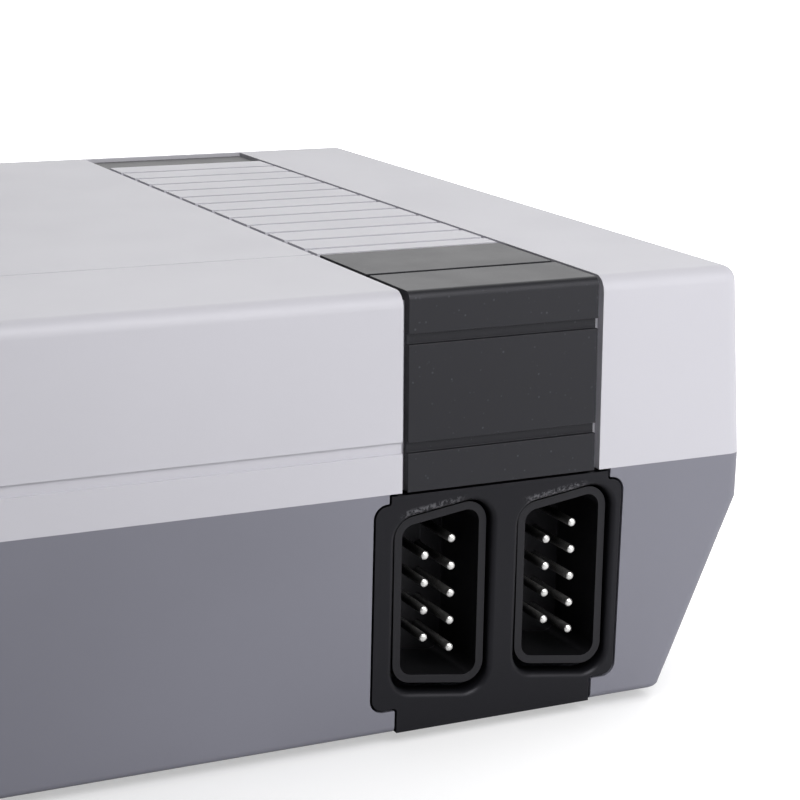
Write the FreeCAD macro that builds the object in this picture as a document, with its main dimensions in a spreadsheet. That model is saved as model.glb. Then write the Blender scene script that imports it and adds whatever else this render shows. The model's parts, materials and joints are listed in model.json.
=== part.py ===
import FreeCAD, Part
import math
import os

import Sketcher

os.makedirs("parts", exist_ok=True)

# A small two-tone game console with two nine-pin controller ports.
# Row frame: origin on the ground under the middle of the bounding box, +X to the console's right as seen
# from the front, +Y to the rear, +Z up. All lengths are in millimetres.

SIZES = {
    # the two shells
    "body_width": 123.0,
    "body_depth": 97.0,
    "foot_height": 1.2,
    "lower_height": 24.2,
    "upper_height": 19.1,
    "wall": 2.0,
    "upper_side_draft": 1.2,
    "upper_front_draft": 0.43,
    "skirt_height": 4.7,
    "lower_side_draft": 8.2,
    "lower_front_draft": 0.4,
    "corner_radius": 1.6,
    "keel_radius": 0.8,
    # the channel along the right of the upper shell, and what lies in it
    "channel_margin": 16.9,
    "channel_width": 21.4,
    "channel_depth": 1.0,
    "channel_backing_lap": 0.5,
    "strip_gap": 0.55,
    "strip_top_length": 20.75,
    "strip_band_height": 1.0,
    "strip_band_depth": 0.5,
    "upper_band_drop": 4.0,
    "lower_band_drop": 14.35,
    "strip_slit_setback": 9.4,
    "strip_slit_width": 0.7,
    "strip_bend_radius": 0.8,
    "rib_pitch": 5.2,
    "rib_groove": 0.8,
    "rib_start": 24.2,
    "rib_count": 12,
    "rear_trim_length": 7.6,
    "rear_trim_thickness": 0.6,
    "rear_rim": 2.6,
    # the moulded outline of the cartridge door
    "door_margin": 6.5,
    "door_groove_rise": 3.8,
    "door_groove_height": 1.15,
    "door_groove_depth": 0.3,
    "door_line_setback": 21.1,
    "door_line": 0.25,
    "door_edge_drop": 1.8,
    # the controller ports
    "panel_ear": 2.67,
    "panel_top_tab": 1.15,
    "panel_bottom_tab": 2.55,
    "panel_tab_overlap": 1.07,
    "panel_gap": 0.24,
    "panel_thickness": 2.4,
    "panel_corner": 1.2,
    "panel_notch_corner": 0.35,
    "port_pitch": 13.3,
    "port_first": 4.6,
    "port_drop": 11.07,
    "port_width": 8.2,
    "port_wide_height": 17.2,
    "port_narrow_height": 14.8,
    "port_corner": 1.3,
    "port_wall": 0.8,
    "port_setback": 0.7,
    "port_floor": 8.7,
    "port_base": 3.0,
    "port_opening_gap": 0.3,
    "port_opening_stretch": 0.27,
    "port_rim_radius": 0.55,
    "pin_radius": 0.42,
    "pin_dome": 0.22,
    "pin_pitch": 2.77,
    "pin_row_spacing": 2.84,
    "pin_setback": 1.0,
    "pin_tail": 1.6,
    "port_screw_spread": 6.1,
    # printed circuit boards and their screws
    "board_thickness": 1.6,
    "board_screw_radius": 1.0,
    "board_screw_head_radius": 1.9,
    "board_screw_head": 1.3,
    "board_screw_length": 6.0,
    "main_post_radius": 2.5,
    "port_post_radius": 1.7,
    "control_post_radius": 1.5,
    "control_screw_spread": 4.4,
    "main_board_screw_inset": 3.2,
    "main_board_screw_rear": 12.0,
    "port_board_lap": 1.0,
    "port_board_drop": 1.5,
    "main_board_left": -36.0,
    "main_board_right": 42.0,
    "main_board_depth": 44.0,
    "main_board_rise": 6.5,
    "main_board_inset": 3.5,
    # power and reset controls
    "bezel_margin": 9.0,
    "bezel_width": 32.0,
    "bezel_height": 13.0,
    "bezel_drop": 5.6,
    "bezel_recess": 1.6,
    "bezel_thickness": 1.6,
    "bezel_gap": 0.15,
    "button_width": 9.4,
    "button_height": 6.0,
    "button_gap": 0.2,
    "button_setback": 0.35,
    "button_edge_radius": 0.5,
    "button_stem": 4.2,
    "button_flange": 0.5,
    "button_flange_thickness": 0.9,
    "power_button_offset": 11.8,
    "reset_button_offset": 25.4,
    "led_offset": 3.8,
    "led_radius": 1.5,
    "led_barrel": 4.0,
    "led_collar_rim": 0.3,
    "led_collar_length": 1.0,
    "led_lead_radius": 0.25,
    "led_lead_pitch": 1.27,
    "power_travel": 2.0,
    "switch_board_setback": 15.0,
    "switch_size": 7.0,
    "switch_body_depth": 6.6,
    "plunger_size": 3.0,
    "plunger_gap": 0.1,
    "plunger_lead": 0.6,
    "switch_well_floor": 1.0,
    "plunger_clearance": 0.3,
    "switch_board_margin": 1.0,
    "switch_board_lap": 0.5,
    # sockets on the rear
    "jack_overhang": 7.5,
    "jack_radius": 4.15,
    "jack_bore": 3.5,
    "jack_block": 10.0,
    "jack_block_depth": 12.0,
    "jack_contact_radius": 1.9,
    "jack_contact_bore": 1.6,
    "jack_contact_length": 9.0,
    "jack_contact_setback": 0.8,
    "jack_hole_depth": 10.0,
    "jack_opening_gap": 0.9,
    "jack_wall_gap": 0.6,
    "jack_rise": 5.6,
    "video_jack_place": -24.0,
    "audio_jack_place": -9.0,
    "power_jack_place": 30.0,
    "power_jack_width": 9.0,
    "power_jack_depth": 14.0,
    "power_jack_height": 11.0,
    "power_jack_bore": 3.1,
    "power_jack_bore_depth": 9.5,
    "power_jack_pin": 1.05,
    "power_jack_nose": 3.9,
    "power_jack_nose_setback": 0.8,
    "power_jack_opening_gap": 0.3,
    "power_jack_pin_setback": 1.2,
    # case screws and feet
    "case_post_radius": 3.75,
    "upper_post_radius": 3.0,
    "case_post_side": 46.0,
    "case_post_front": 24.0,
    "case_post_rear": 22.0,
    "case_screw_radius": 1.3,
    "case_screw_head_radius": 2.5,
    "case_screw_head": 1.8,
    "case_screw_length": 12.0,
    "case_well_radius": 2.8,
    "case_well_roof": 3.0,
    "foot_radius": 5.0,
    "foot_recess": 0.4,
    "foot_gap": 0.2,
    "foot_inset": 9.0,
    # parts on the main board
    "console_chip_place": -6.0,
    "console_chip_radius": 9.0,
    "console_chip_rise": 1.8,
    "memory_chip_place": 14.0,
    "memory_chip_radius": 6.5,
    "memory_chip_rise": 1.5,
    "chip_setback": 15.0,
    "crystal_place": -18.5,
    "crystal_setback": 8.0,
    "crystal_half_length": 3.2,
    "crystal_end_radius": 2.3,
    "crystal_height": 3.5,
    "capacitor_setback": 20.0,
    "large_capacitor_place": 21.5,
    "large_capacitor_radius": 3.15,
    "large_capacitor_height": 11.0,
    "small_capacitor_place": 13.5,
    "small_capacitor_spacing": 7.0,
    "small_capacitor_radius": 2.5,
    "small_capacitor_height": 9.0,
    "regulator_place": 32.0,
    "regulator_setback": 20.0,
    "regulator_width": 6.6,
    "regulator_depth": 6.0,
    "regulator_height": 2.3,
    "regulator_tab_width": 5.2,
    "regulator_tab_depth": 2.0,
    "regulator_tab_height": 0.8,
    # flat cables
    "ribbon_thickness": 1.0,
    "port_ribbon_left": 30.6,
    "port_ribbon_width": 7.6,
    "port_ribbon_rise": 1.6,
    "port_ribbon_landing": 8.0,
    "switch_ribbon_left": -28.0,
    "switch_ribbon_width": 6.0,
    "switch_ribbon_rise": 2.0,
    "switch_ribbon_landing": 3.0,
}

# A cutting shape starts and ends this far outside the material, and a post is sunk this far into its base.
OVERCUT = 1.0
SINK = 0.2
# The hole for a screw that passes through a piece is wider than its thread by this much all round.
SCREW_CLEARANCE = 0.2
# Two places closer than this are taken as the same place.
NEAR = 0.01

doc = FreeCAD.newDocument("Console")
sheet = doc.addObject("Spreadsheet::Sheet", "Sizes")
for row, (alias, number) in enumerate(SIZES.items(), start=1):
    sheet.set(f"A{row}", alias)
    sheet.set(f"B{row}", str(number))
    sheet.setAlias(f"B{row}", alias)
doc.recompute()


class Length:
    """A length that knows both its present value and the formula over the sheet that gives it."""

    def __init__(self, value, formula):
        self.value = value
        self.formula = formula

    @staticmethod
    def of(other):
        return other if isinstance(other, Length) else Length(other, f"({other})")

    def __add__(self, other):
        other = Length.of(other)
        return Length(self.value + other.value, f"({self.formula} + {other.formula})")

    def __sub__(self, other):
        other = Length.of(other)
        return Length(self.value - other.value, f"({self.formula} - {other.formula})")

    def __mul__(self, other):
        other = Length.of(other)
        return Length(self.value * other.value, f"({self.formula} * {other.formula})")

    def __truediv__(self, other):
        other = Length.of(other)
        return Length(self.value / other.value, f"({self.formula} / {other.formula})")

    def __radd__(self, other):
        return Length.of(other) + self

    def __rsub__(self, other):
        return Length.of(other) - self

    def __rmul__(self, other):
        return Length.of(other) * self

    def __neg__(self):
        return Length(-self.value, f"(-1 * {self.formula})")


def cell(alias):
    """The length that a cell of the sheet holds."""
    return Length(float(sheet.get(alias)), f"Sizes.{alias}")


def bind(target, prop, length):
    """Ties a property of a document object to the sheet."""
    target.setExpression(prop, Length.of(length).formula)


# ---------------------------------------------------------------- the console's main planes and lines

wall = cell("wall")
right = cell("body_width") / 2
left = -right
front = -(cell("body_depth") + cell("jack_overhang")) / 2
rear = front + cell("body_depth")
bottom = cell("foot_height")
split = bottom + cell("lower_height")
top = split + cell("upper_height")
skirt = split - cell("skirt_height")

channel_right = right - cell("channel_margin")
channel_left = channel_right - cell("channel_width")
channel_floor = top - cell("channel_depth")
channel_end = rear - cell("rear_rim")
strip_left = channel_left + cell("strip_gap")
strip_right = channel_right - cell("strip_gap")

main_board_bottom = bottom + wall + cell("main_board_rise")
main_board_top = main_board_bottom + cell("board_thickness")
main_board_back = rear - cell("main_board_inset")
main_board_front = main_board_back - cell("main_board_depth")
jack_axis_z = main_board_top + cell("jack_rise")

port_axis_z = split - cell("port_drop")
port_xs = [channel_left + cell("port_first"), channel_left + cell("port_first") + cell("port_pitch")]
port_board_front = front + cell("port_floor") + cell("port_base")
port_board_back = port_board_front + cell("board_thickness")

bezel_left = left + cell("bezel_margin")
bezel_right = bezel_left + cell("bezel_width")
bezel_top = split - cell("bezel_drop")
bezel_bottom = bezel_top - cell("bezel_height")
bezel_face = front + cell("bezel_recess")
bezel_back = bezel_face + cell("bezel_thickness")
control_z = (bezel_top + bezel_bottom) / 2
power_x = bezel_left + cell("power_button_offset")
reset_x = bezel_left + cell("reset_button_offset")
led_x = bezel_left + cell("led_offset")
button_face = front + cell("button_setback")
switch_board_front = front + cell("switch_board_setback")
switch_board_back = switch_board_front + cell("board_thickness")

case_posts = [
    (side * cell("case_post_side"), place)
    for side in (-1, 1)
    for place in (front + cell("case_post_front"), rear - cell("case_post_rear"))
]
feet_places = [
    (side * (right - cell("lower_side_draft") - cell("foot_inset")), place)
    for side in (-1, 1)
    for place in (front + cell("foot_inset"), rear - cell("foot_inset"))
]

# ---------------------------------------------------------------- building blocks

NODES = []


def node(label, thing):
    """Names a finished piece; its label is also the name of its file."""
    thing.Label = label
    NODES.append(thing)
    return thing


def box(name, x_span, y_span, z_span):
    """An upright block between pairs of planes."""
    block = doc.addObject("Part::Box", name)
    for prop, axis, (low, high) in zip(("Length", "Width", "Height"), "xyz", (x_span, y_span, z_span)):
        bind(block, prop, Length.of(high) - low)
        bind(block, f"Placement.Base.{axis}", low)
    return block


def rod(name, radius, start, length, axis="z"):
    """A round bar from a start point along an axis."""
    bar = doc.addObject("Part::Cylinder", name)
    turns = {"z": (0, 0, 1, 0), "y": (1, 0, 0, -90), "x": (0, 1, 0, 90)}
    turn_x, turn_y, turn_z, angle = turns[axis]
    rotation = FreeCAD.Rotation(FreeCAD.Vector(turn_x, turn_y, turn_z), angle)
    bar.Placement = FreeCAD.Placement(FreeCAD.Vector(), rotation)
    bind(bar, "Radius", radius)
    bind(bar, "Height", length)
    for letter, place in zip("xyz", start):
        bind(bar, f"Placement.Base.{letter}", place)
    return bar


def ball(name, radius, centre):
    """A full sphere."""
    sphere = doc.addObject("Part::Sphere", name)
    bind(sphere, "Radius", radius)
    for letter, place in zip("xyz", centre):
        bind(sphere, f"Placement.Base.{letter}", place)
    return sphere


def flat_dome(name, radius, rise, centre):
    """A round body that is flattened along Y, so that its front half is a low dome."""
    dome = doc.addObject("Part::Ellipsoid", name)
    bind(dome, "Radius1", rise)
    bind(dome, "Radius2", radius)
    bind(dome, "Radius3", radius)
    dome.Placement.Rotation = FreeCAD.Rotation(FreeCAD.Vector(1, 0, 0), 90)
    for letter, place in zip("xyz", centre):
        bind(dome, f"Placement.Base.{letter}", place)
    return dome


def fused(name, shapes):
    union = doc.addObject("Part::MultiFuse", name)
    union.Shapes = shapes
    return union


def common(name, shapes):
    shared = doc.addObject("Part::MultiCommon", name)
    shared.Shapes = shapes
    return shared


def less(name, base, tools):
    """A shape with one or more others cut away."""
    tool = tools[0] if len(tools) == 1 else fused(f"{name}Tools", tools)
    difference = doc.addObject("Part::Cut", name)
    difference.Base = base
    difference.Tool = tool
    return difference


def group(name, shapes):
    """Separate solids kept side by side in one piece."""
    together = doc.addObject("Part::Compound", name)
    together.Links = shapes
    return together


def new_body(name):
    return doc.addObject("PartDesign::Body", name)


def origin_part(body, role):
    return next(item for item in body.Origin.OriginFeatures if item.Role == role)


def sketch_on(body, name, plane, offset):
    """An empty sketch parallel to one of the body's own planes, moved along that plane's normal."""
    sketch = body.newObject("Sketcher::SketchObject", name)
    sketch.AttachmentSupport = [(origin_part(body, plane), "")]
    sketch.MapMode = "FlatFace"
    bind(sketch, "AttachmentOffset.Base.z", offset)
    return sketch


def flat_vector(x, y):
    return FreeCAD.Vector(Length.of(x).value, Length.of(y).value, 0)


def place_point(sketch, curve, point, x, y):
    """Pins a point of a sketch to a place given by two lengths."""
    for kind, value in (("DistanceX", Length.of(x)), ("DistanceY", Length.of(y))):
        index = sketch.addConstraint(Sketcher.Constraint(kind, -1, 1, curve, point, value.value))
        sketch.setExpression(f"Constraints[{index}]", value.formula)


def draw_polygon(sketch, corners):
    """A closed outline of straight lines with each corner tied to the sheet."""
    points = [flat_vector(x, y) for x, y in corners]
    first = sketch.GeometryCount
    count = len(points)
    for index in range(count):
        sketch.addGeometry(Part.LineSegment(points[index], points[(index + 1) % count]), False)
    for index in range(count):
        following = first + (index + 1) % count
        sketch.addConstraint(Sketcher.Constraint("Coincident", first + index, 2, following, 1))
    for index, (x, y) in enumerate(corners):
        place_point(sketch, first + index, 1, x, y)


def draw_outline(sketch, corners, radii):
    """A closed outline from counterclockwise corners, each with its own radius, or None to stay sharp."""
    points = [flat_vector(x, y) for x, y in corners]
    count = len(points)
    ends = []
    for index, ((x, y), radius) in enumerate(zip(corners, radii)):
        if radius is None:
            ends.append([(x, y), (x, y)])
            continue
        to_last = (points[index - 1] - points[index]).normalize()
        to_next = (points[(index + 1) % count] - points[index]).normalize()
        setback = radius * round(1 / math.tan(to_last.getAngle(to_next) / 2), 5)
        ends.append([(x + setback * round(way.x, 5), y + setback * round(way.y, 5))
                     for way in (to_last, to_next)])
    first = sketch.GeometryCount
    for index in range(count):
        (start_x, start_y), (end_x, end_y) = ends[index][1], ends[(index + 1) % count][0]
        line = Part.LineSegment(flat_vector(start_x, start_y), flat_vector(end_x, end_y))
        sketch.addGeometry(line, False)
        place_point(sketch, first + index, 1, start_x, start_y)
        place_point(sketch, first + index, 2, end_x, end_y)
    for index, radius in enumerate(radii):
        if radius is not None:
            arrive, leave = (flat_vector(x, y) for x, y in ends[index])
            lines = (first + (index - 1) % count, first + index)
            join_with_arc(sketch, points[index], arrive, leave, radius, lines)


def join_with_arc(sketch, corner, arrive, leave, radius, lines):
    """Rounds one corner of an outline with an arc tangent to the line before it and the line after."""
    bisector = ((arrive + leave) / 2 - corner).normalize()
    half_turn = bisector.getAngle(arrive - corner)
    centre = corner + bisector * (radius.value / math.sin(half_turn))
    bulges = (corner - arrive).cross(leave - corner).z > 0
    start, end = (arrive, leave) if bulges else (leave, arrive)
    start_angle = math.atan2(start.y - centre.y, start.x - centre.x)
    end_angle = math.atan2(end.y - centre.y, end.x - centre.x)
    circle = Part.Circle(centre, FreeCAD.Vector(0, 0, 1), radius.value)
    arc = sketch.addGeometry(Part.ArcOfCircle(circle, start_angle, end_angle), False)
    before, after = lines
    arc_start, arc_end = (1, 2) if bulges else (2, 1)
    sketch.addConstraint(Sketcher.Constraint("Coincident", before, 2, arc, arc_start))
    sketch.addConstraint(Sketcher.Constraint("Coincident", arc, arc_end, after, 1))
    rule = sketch.addConstraint(Sketcher.Constraint("Radius", arc, radius.value))
    sketch.setExpression(f"Constraints[{rule}]", radius.formula)


def draw_rectangle(sketch, x_span, y_span):
    (x_low, x_high), (y_low, y_high) = x_span, y_span
    draw_polygon(sketch, [(x_low, y_low), (x_high, y_low), (x_high, y_high), (x_low, y_high)])


def draw_circle(sketch, x, y, radius):
    circle = Part.Circle(flat_vector(x, y), FreeCAD.Vector(0, 0, 1), radius.value)
    index = sketch.addGeometry(circle, False)
    place_point(sketch, index, 3, x, y)
    rule = sketch.addConstraint(Sketcher.Constraint("Radius", index, radius.value))
    sketch.setExpression(f"Constraints[{rule}]", radius.formula)


def extrude(body, kind, name, sketch, length, backwards=False):
    """A PartDesign Pad or Pocket of a sketch."""
    feature = body.newObject(f"PartDesign::{kind}", name)
    feature.Profile = sketch
    feature.Type = 0
    feature.Reversed = backwards
    bind(feature, "Length", length)
    sketch.Visibility = False
    doc.recompute()
    return feature


def loft(body, kind, name, sketches):
    """A straight-sided PartDesign loft through sketches stacked along one axis."""
    feature = body.newObject(f"PartDesign::{kind}", name)
    feature.Profile = sketches[0]
    feature.Sections = sketches[1:]
    feature.Ruled = True
    doc.recompute()
    return feature


def round_edges(body, name, radius, wanted):
    """A PartDesign Fillet of every edge of the body that a test picks."""
    base = body.Tip
    names = [f"Edge{number}" for number, edge in enumerate(base.Shape.Edges, start=1) if wanted(edge)]
    fillet = body.newObject("PartDesign::Fillet", name)
    fillet.Base = (base, names)
    bind(fillet, "Radius", radius)
    doc.recompute()
    return fillet


def edge_ends(edge):
    return edge.Vertexes[0].Point, edge.Vertexes[-1].Point


def runs_up(edge):
    """Whether an edge climbs more than it runs level."""
    start, end = edge_ends(edge)
    level = math.hypot(end.x - start.x, end.y - start.y)
    return abs(end.z - start.z) > level


def lies_at_height(height):
    """A test for level edges in one horizontal plane."""
    def wanted(edge):
        start, end = edge_ends(edge)
        return abs(start.z - height) < NEAR and abs(end.z - height) < NEAR
    return wanted


def d_outline(x, z, grow, stretch):
    """Corners of a nine-pin port's D, its longer side on the right, grown all round and then made taller."""
    lean = math.atan2(cell("port_wide_height").value - cell("port_narrow_height").value,
                      2 * cell("port_width").value)
    grow = Length.of(grow)
    half_width = cell("port_width") / 2 + grow
    wide = cell("port_wide_height") / 2 + grow * round((1 + math.sin(lean)) / math.cos(lean), 4) + stretch
    narrow = cell("port_narrow_height") / 2 + grow * round((1 - math.sin(lean)) / math.cos(lean), 4) + stretch
    return [(x - half_width, z - narrow), (x + half_width, z - wide),
            (x + half_width, z + wide), (x - half_width, z + narrow)]


# ---------------------------------------------------------------- upper shell

def upper_section(body, name, height, inset, share):
    """A level rectangle of the upper shell; share is how far up the drafted side it lies, 0 to 1."""
    side = inset + cell("upper_side_draft") * share
    face = inset + cell("upper_front_draft") * share
    sketch = sketch_on(body, name, "XY_Plane", height)
    draw_rectangle(sketch, (left + side, right - side), (front + face, rear - face))
    return sketch


def make_upper_shell():
    body = new_body("UpperShell")
    side_draft = cell("upper_side_draft")
    face_draft = cell("upper_front_draft")
    profile = sketch_on(body, "UpperProfile", "XZ_Plane", -front)
    draw_polygon(profile, [(left, split), (right, split),
                           (right - side_draft, top), (left + side_draft, top)])
    extrude(body, "Pad", "UpperBlock", profile, cell("body_depth"), backwards=True)
    leans = sketch_on(body, "UpperLeanOutline", "YZ_Plane", left - OVERCUT)
    for face, way in ((front, 1), (rear, -1)):
        outside = face - OVERCUT * way
        draw_polygon(leans, [(outside, split - OVERCUT), (face, split - OVERCUT), (face, split),
                             (face + face_draft * way, top), (face + face_draft * way, top + OVERCUT),
                             (outside, top + OVERCUT)])
    extrude(body, "Pocket", "UpperLean", leans, cell("body_width") + 2 * OVERCUT, backwards=True)
    at_top = lies_at_height(top.value)
    round_edges(body, "UpperEdges", cell("corner_radius"), lambda edge: runs_up(edge) or at_top(edge))

    ceiling = top - wall
    inner = [upper_section(body, "UpperInnerRim", split, wall, 0),
             upper_section(body, "UpperInnerCrown", ceiling, wall, 1)]
    loft(body, "SubtractiveLoft", "UpperHollow", inner)

    # The wall steps inward behind the channel, so that it stays as thick there.
    face = front + wall
    backing = sketch_on(body, "ChannelBackingOutline", "YZ_Plane", channel_left - wall)
    step = cell("channel_depth")
    lap = cell("channel_backing_lap")
    draw_polygon(backing, [
        (face - lap, split), (face + step, split), (face + step, ceiling - step),
        (channel_end + lap, ceiling - step), (channel_end + lap, ceiling + lap), (face - lap, ceiling + lap),
    ])
    extrude(body, "Pad", "ChannelBacking", backing, cell("channel_width") + 2 * wall)

    channel = sketch_on(body, "ChannelOutline", "YZ_Plane", channel_left)
    outside = front - OVERCUT
    above = top + OVERCUT
    draw_polygon(channel, [
        (outside, split - OVERCUT), (front + step, split - OVERCUT),
        (front + cell("upper_front_draft") + step, channel_floor),
        (channel_end, channel_floor), (channel_end, above), (outside, above),
    ])
    extrude(body, "Pocket", "Channel", channel, cell("channel_width"), backwards=True)

    # Cooling ribs stand on the channel floor behind the strip, first a short one and then the full row.
    rib_sides = (strip_left, strip_right)
    groove = cell("rib_groove") / 2
    short = sketch_on(body, "ShortRibOutline", "XY_Plane", channel_floor)
    short_front = front + cell("strip_top_length") + cell("strip_gap")
    draw_rectangle(short, rib_sides, (short_front, front + cell("rib_start") - groove))
    extrude(body, "Pad", "ShortRib", short, cell("channel_depth"))
    rib = sketch_on(body, "RibOutline", "XY_Plane", channel_floor)
    rib_front = front + cell("rib_start") + groove
    draw_rectangle(rib, rib_sides, (rib_front, rib_front + cell("rib_pitch") - cell("rib_groove")))
    first_rib = extrude(body, "Pad", "Rib", rib, cell("channel_depth"))
    row = body.newObject("PartDesign::LinearPattern", "RibRow")
    row.Originals = [first_rib]
    row.Direction = (origin_part(body, "Y_Axis"), [""])
    bind(row, "Length", cell("rib_pitch") * (cell("rib_count") - 1))
    bind(row, "Occurrences", cell("rib_count"))
    body.Tip = row
    doc.recompute()

    # The cartridge door is an outline in the moulding: a groove under it and fine lines around it.
    door_left = left + cell("door_margin")
    groove_low = split + cell("door_groove_rise")
    groove_share = round(SIZES["door_groove_rise"] / SIZES["upper_height"], 4)
    under = sketch_on(body, "DoorGrooveOutline", "YZ_Plane", door_left)
    groove_back = front + cell("door_groove_depth") + cell("upper_front_draft") * groove_share
    draw_rectangle(under, (outside, groove_back), (groove_low, groove_low + cell("door_groove_height")))
    extrude(body, "Pocket", "DoorGroove", under, channel_left - door_left + OVERCUT, backwards=True)
    line = cell("door_line")
    across = sketch_on(body, "DoorLineOutline", "XY_Plane", top - line)
    back = front + cell("door_line_setback")
    draw_rectangle(across, (door_left, channel_left + OVERCUT), (back, back + line))
    extrude(body, "Pocket", "DoorLine", across, line + OVERCUT, backwards=True)
    edge = sketch_on(body, "DoorEdgeOutline", "YZ_Plane", door_left)
    drop = cell("door_edge_drop")
    leaned = front + cell("upper_front_draft")
    draw_polygon(edge, [
        (outside, groove_low), (front + line + cell("upper_front_draft") * groove_share, groove_low),
        (leaned + line, top - drop), (leaned + drop, top - line),
        (back + line, top - line), (back + line, above), (outside, above),
    ])
    extrude(body, "Pocket", "DoorEdge", edge, line, backwards=True)

    # Posts that the case screws bite into.
    posts = sketch_on(body, "UpperPostOutline", "XY_Plane", split)
    for x, y in case_posts:
        draw_circle(posts, x, y, cell("upper_post_radius"))
    extrude(body, "Pad", "UpperPosts", posts, cell("upper_height") - wall + SINK)
    pilots = sketch_on(body, "PilotOutline", "XY_Plane", split - OVERCUT)
    for x, y in case_posts:
        draw_circle(pilots, x, y, cell("case_screw_radius"))
    extrude(body, "Pocket", "Pilots", pilots, cell("case_screw_length"), backwards=True)
    return node("upper_shell", body)


# ---------------------------------------------------------------- lower shell

def lower_section(body, name, height, inset, side_share, front_share):
    """A level rectangle of the lower shell; the shares are how far the side and front have leaned in."""
    side = inset + cell("lower_side_draft") * side_share
    face = inset + cell("lower_front_draft") * front_share
    sketch = sketch_on(body, name, "XY_Plane", height)
    draw_rectangle(sketch, (left + side, right - side), (front + face, rear - face))
    return sketch


def draw_panel_outline(sketch, gap, upper_edge):
    """The port panel's outline seen from the front, grown by a gap all round except at its upper edge."""
    tab_left = channel_left - cell("panel_tab_overlap") - gap
    tab_right = channel_right + cell("panel_tab_overlap") + gap
    ear_left = channel_left - cell("panel_ear") - gap
    ear_right = channel_right + cell("panel_ear") + gap
    ear_top = split - cell("panel_top_tab") + gap
    ear_bottom = bottom + cell("panel_bottom_tab") - gap
    foot_left = channel_left - gap
    foot_right = channel_right + gap
    bulge = cell("panel_corner") + gap
    notch = cell("panel_notch_corner") - gap
    outline = [
        (foot_left, bottom, None), (foot_right, bottom, None), (foot_right, ear_bottom, notch),
        (ear_right, ear_bottom, bulge), (ear_right, ear_top, bulge), (tab_right, ear_top, notch),
        (tab_right, upper_edge, None), (tab_left, upper_edge, None), (tab_left, ear_top, notch),
        (ear_left, ear_top, bulge), (ear_left, ear_bottom, bulge), (foot_left, ear_bottom, notch),
    ]
    draw_outline(sketch, [(x, z) for x, z, radius in outline], [radius for x, z, radius in outline])


def make_lower_shell():
    body = new_body("LowerShell")
    knee = cell("skirt_height").value / cell("lower_height").value
    outer = [lower_section(body, "LowerRim", split, 0, 0, 0),
             lower_section(body, "LowerKnee", skirt, 0, 0, knee),
             lower_section(body, "LowerKeel", bottom, 0, 1, 1)]
    loft(body, "AdditiveLoft", "LowerBlock", outer)
    round_edges(body, "LowerCorners", cell("corner_radius"), runs_up)
    round_edges(body, "LowerEdge", cell("keel_radius"), lies_at_height(bottom.value))

    lean_left = 1 - wall.value / (cell("lower_height").value - cell("skirt_height").value)
    inner = [lower_section(body, "LowerInnerRim", split, wall, 0, 0),
             lower_section(body, "LowerInnerKnee", skirt, wall, 0, knee),
             lower_section(body, "LowerInnerKeel", bottom + wall, wall, lean_left, lean_left)]
    loft(body, "SubtractiveLoft", "LowerHollow", inner)

    # Front openings for the port panel and the power controls.
    opening = sketch_on(body, "PanelOpeningOutline", "XZ_Plane", OVERCUT - front)
    draw_panel_outline(opening, cell("panel_gap"), split)
    depth = cell("panel_thickness") + cell("lower_front_draft") + SINK
    extrude(body, "Pocket", "PanelOpening", opening, depth + OVERCUT)
    controls = sketch_on(body, "ControlOpeningOutline", "XZ_Plane", OVERCUT - front)
    draw_rectangle(controls, (bezel_left, bezel_right), (bezel_bottom, bezel_top))
    extrude(body, "Pocket", "ControlOpening", controls, wall + 2 * OVERCUT)

    # Rear openings for the sockets.
    sockets = sketch_on(body, "SocketOpeningOutline", "XZ_Plane", -(rear - wall - OVERCUT))
    for place in ("video_jack_place", "audio_jack_place"):
        draw_circle(sockets, cell(place), jack_axis_z, cell("jack_radius") + cell("jack_opening_gap"))
    nose_hole = cell("power_jack_nose") + cell("power_jack_opening_gap")
    draw_circle(sockets, cell("power_jack_place"), jack_axis_z, nose_hole)
    extrude(body, "Pocket", "SocketOpenings", sockets, wall + 3 * OVERCUT)

    # Posts for the case screws, each with a well from below for the screw's head.
    posts = sketch_on(body, "LowerPostOutline", "XY_Plane", bottom + wall - SINK)
    for x, y in case_posts:
        draw_circle(posts, x, y, cell("case_post_radius"))
    extrude(body, "Pad", "LowerPosts", posts, cell("lower_height") - wall)
    below = bottom - OVERCUT
    wells = sketch_on(body, "WellOutline", "XY_Plane", below)
    for x, y in case_posts:
        draw_circle(wells, x, y, cell("case_well_radius"))
    well_depth = cell("lower_height") - cell("case_well_roof")
    extrude(body, "Pocket", "Wells", wells, well_depth + OVERCUT, backwards=True)
    ways = sketch_on(body, "ScrewWayOutline", "XY_Plane", below)
    for x, y in case_posts:
        draw_circle(ways, x, y, cell("case_screw_radius") + SCREW_CLEARANCE)
    extrude(body, "Pocket", "ScrewWays", ways, cell("lower_height") + 2 * OVERCUT, backwards=True)

    # Posts for the main board, and shallow seats for the feet.
    board_posts = sketch_on(body, "BoardPostOutline", "XY_Plane", bottom + wall - SINK)
    for x, y in main_board_screw_places():
        draw_circle(board_posts, x, y, cell("main_post_radius"))
    extrude(body, "Pad", "BoardPosts", board_posts, cell("main_board_rise") + SINK)
    board_pilots = sketch_on(body, "BoardPilotOutline", "XY_Plane", main_board_bottom + OVERCUT)
    for x, y in main_board_screw_places():
        draw_circle(board_pilots, x, y, cell("board_screw_radius"))
    extrude(body, "Pocket", "BoardPilots", board_pilots, cell("board_screw_length") - SINK)
    seats = sketch_on(body, "FootSeatOutline", "XY_Plane", below)
    for x, y in feet_places:
        draw_circle(seats, x, y, cell("foot_radius") + cell("foot_gap"))
    extrude(body, "Pocket", "FootSeats", seats, cell("foot_recess") + OVERCUT, backwards=True)
    return node("lower_shell", body)


# ---------------------------------------------------------------- black trim in the channel

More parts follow.
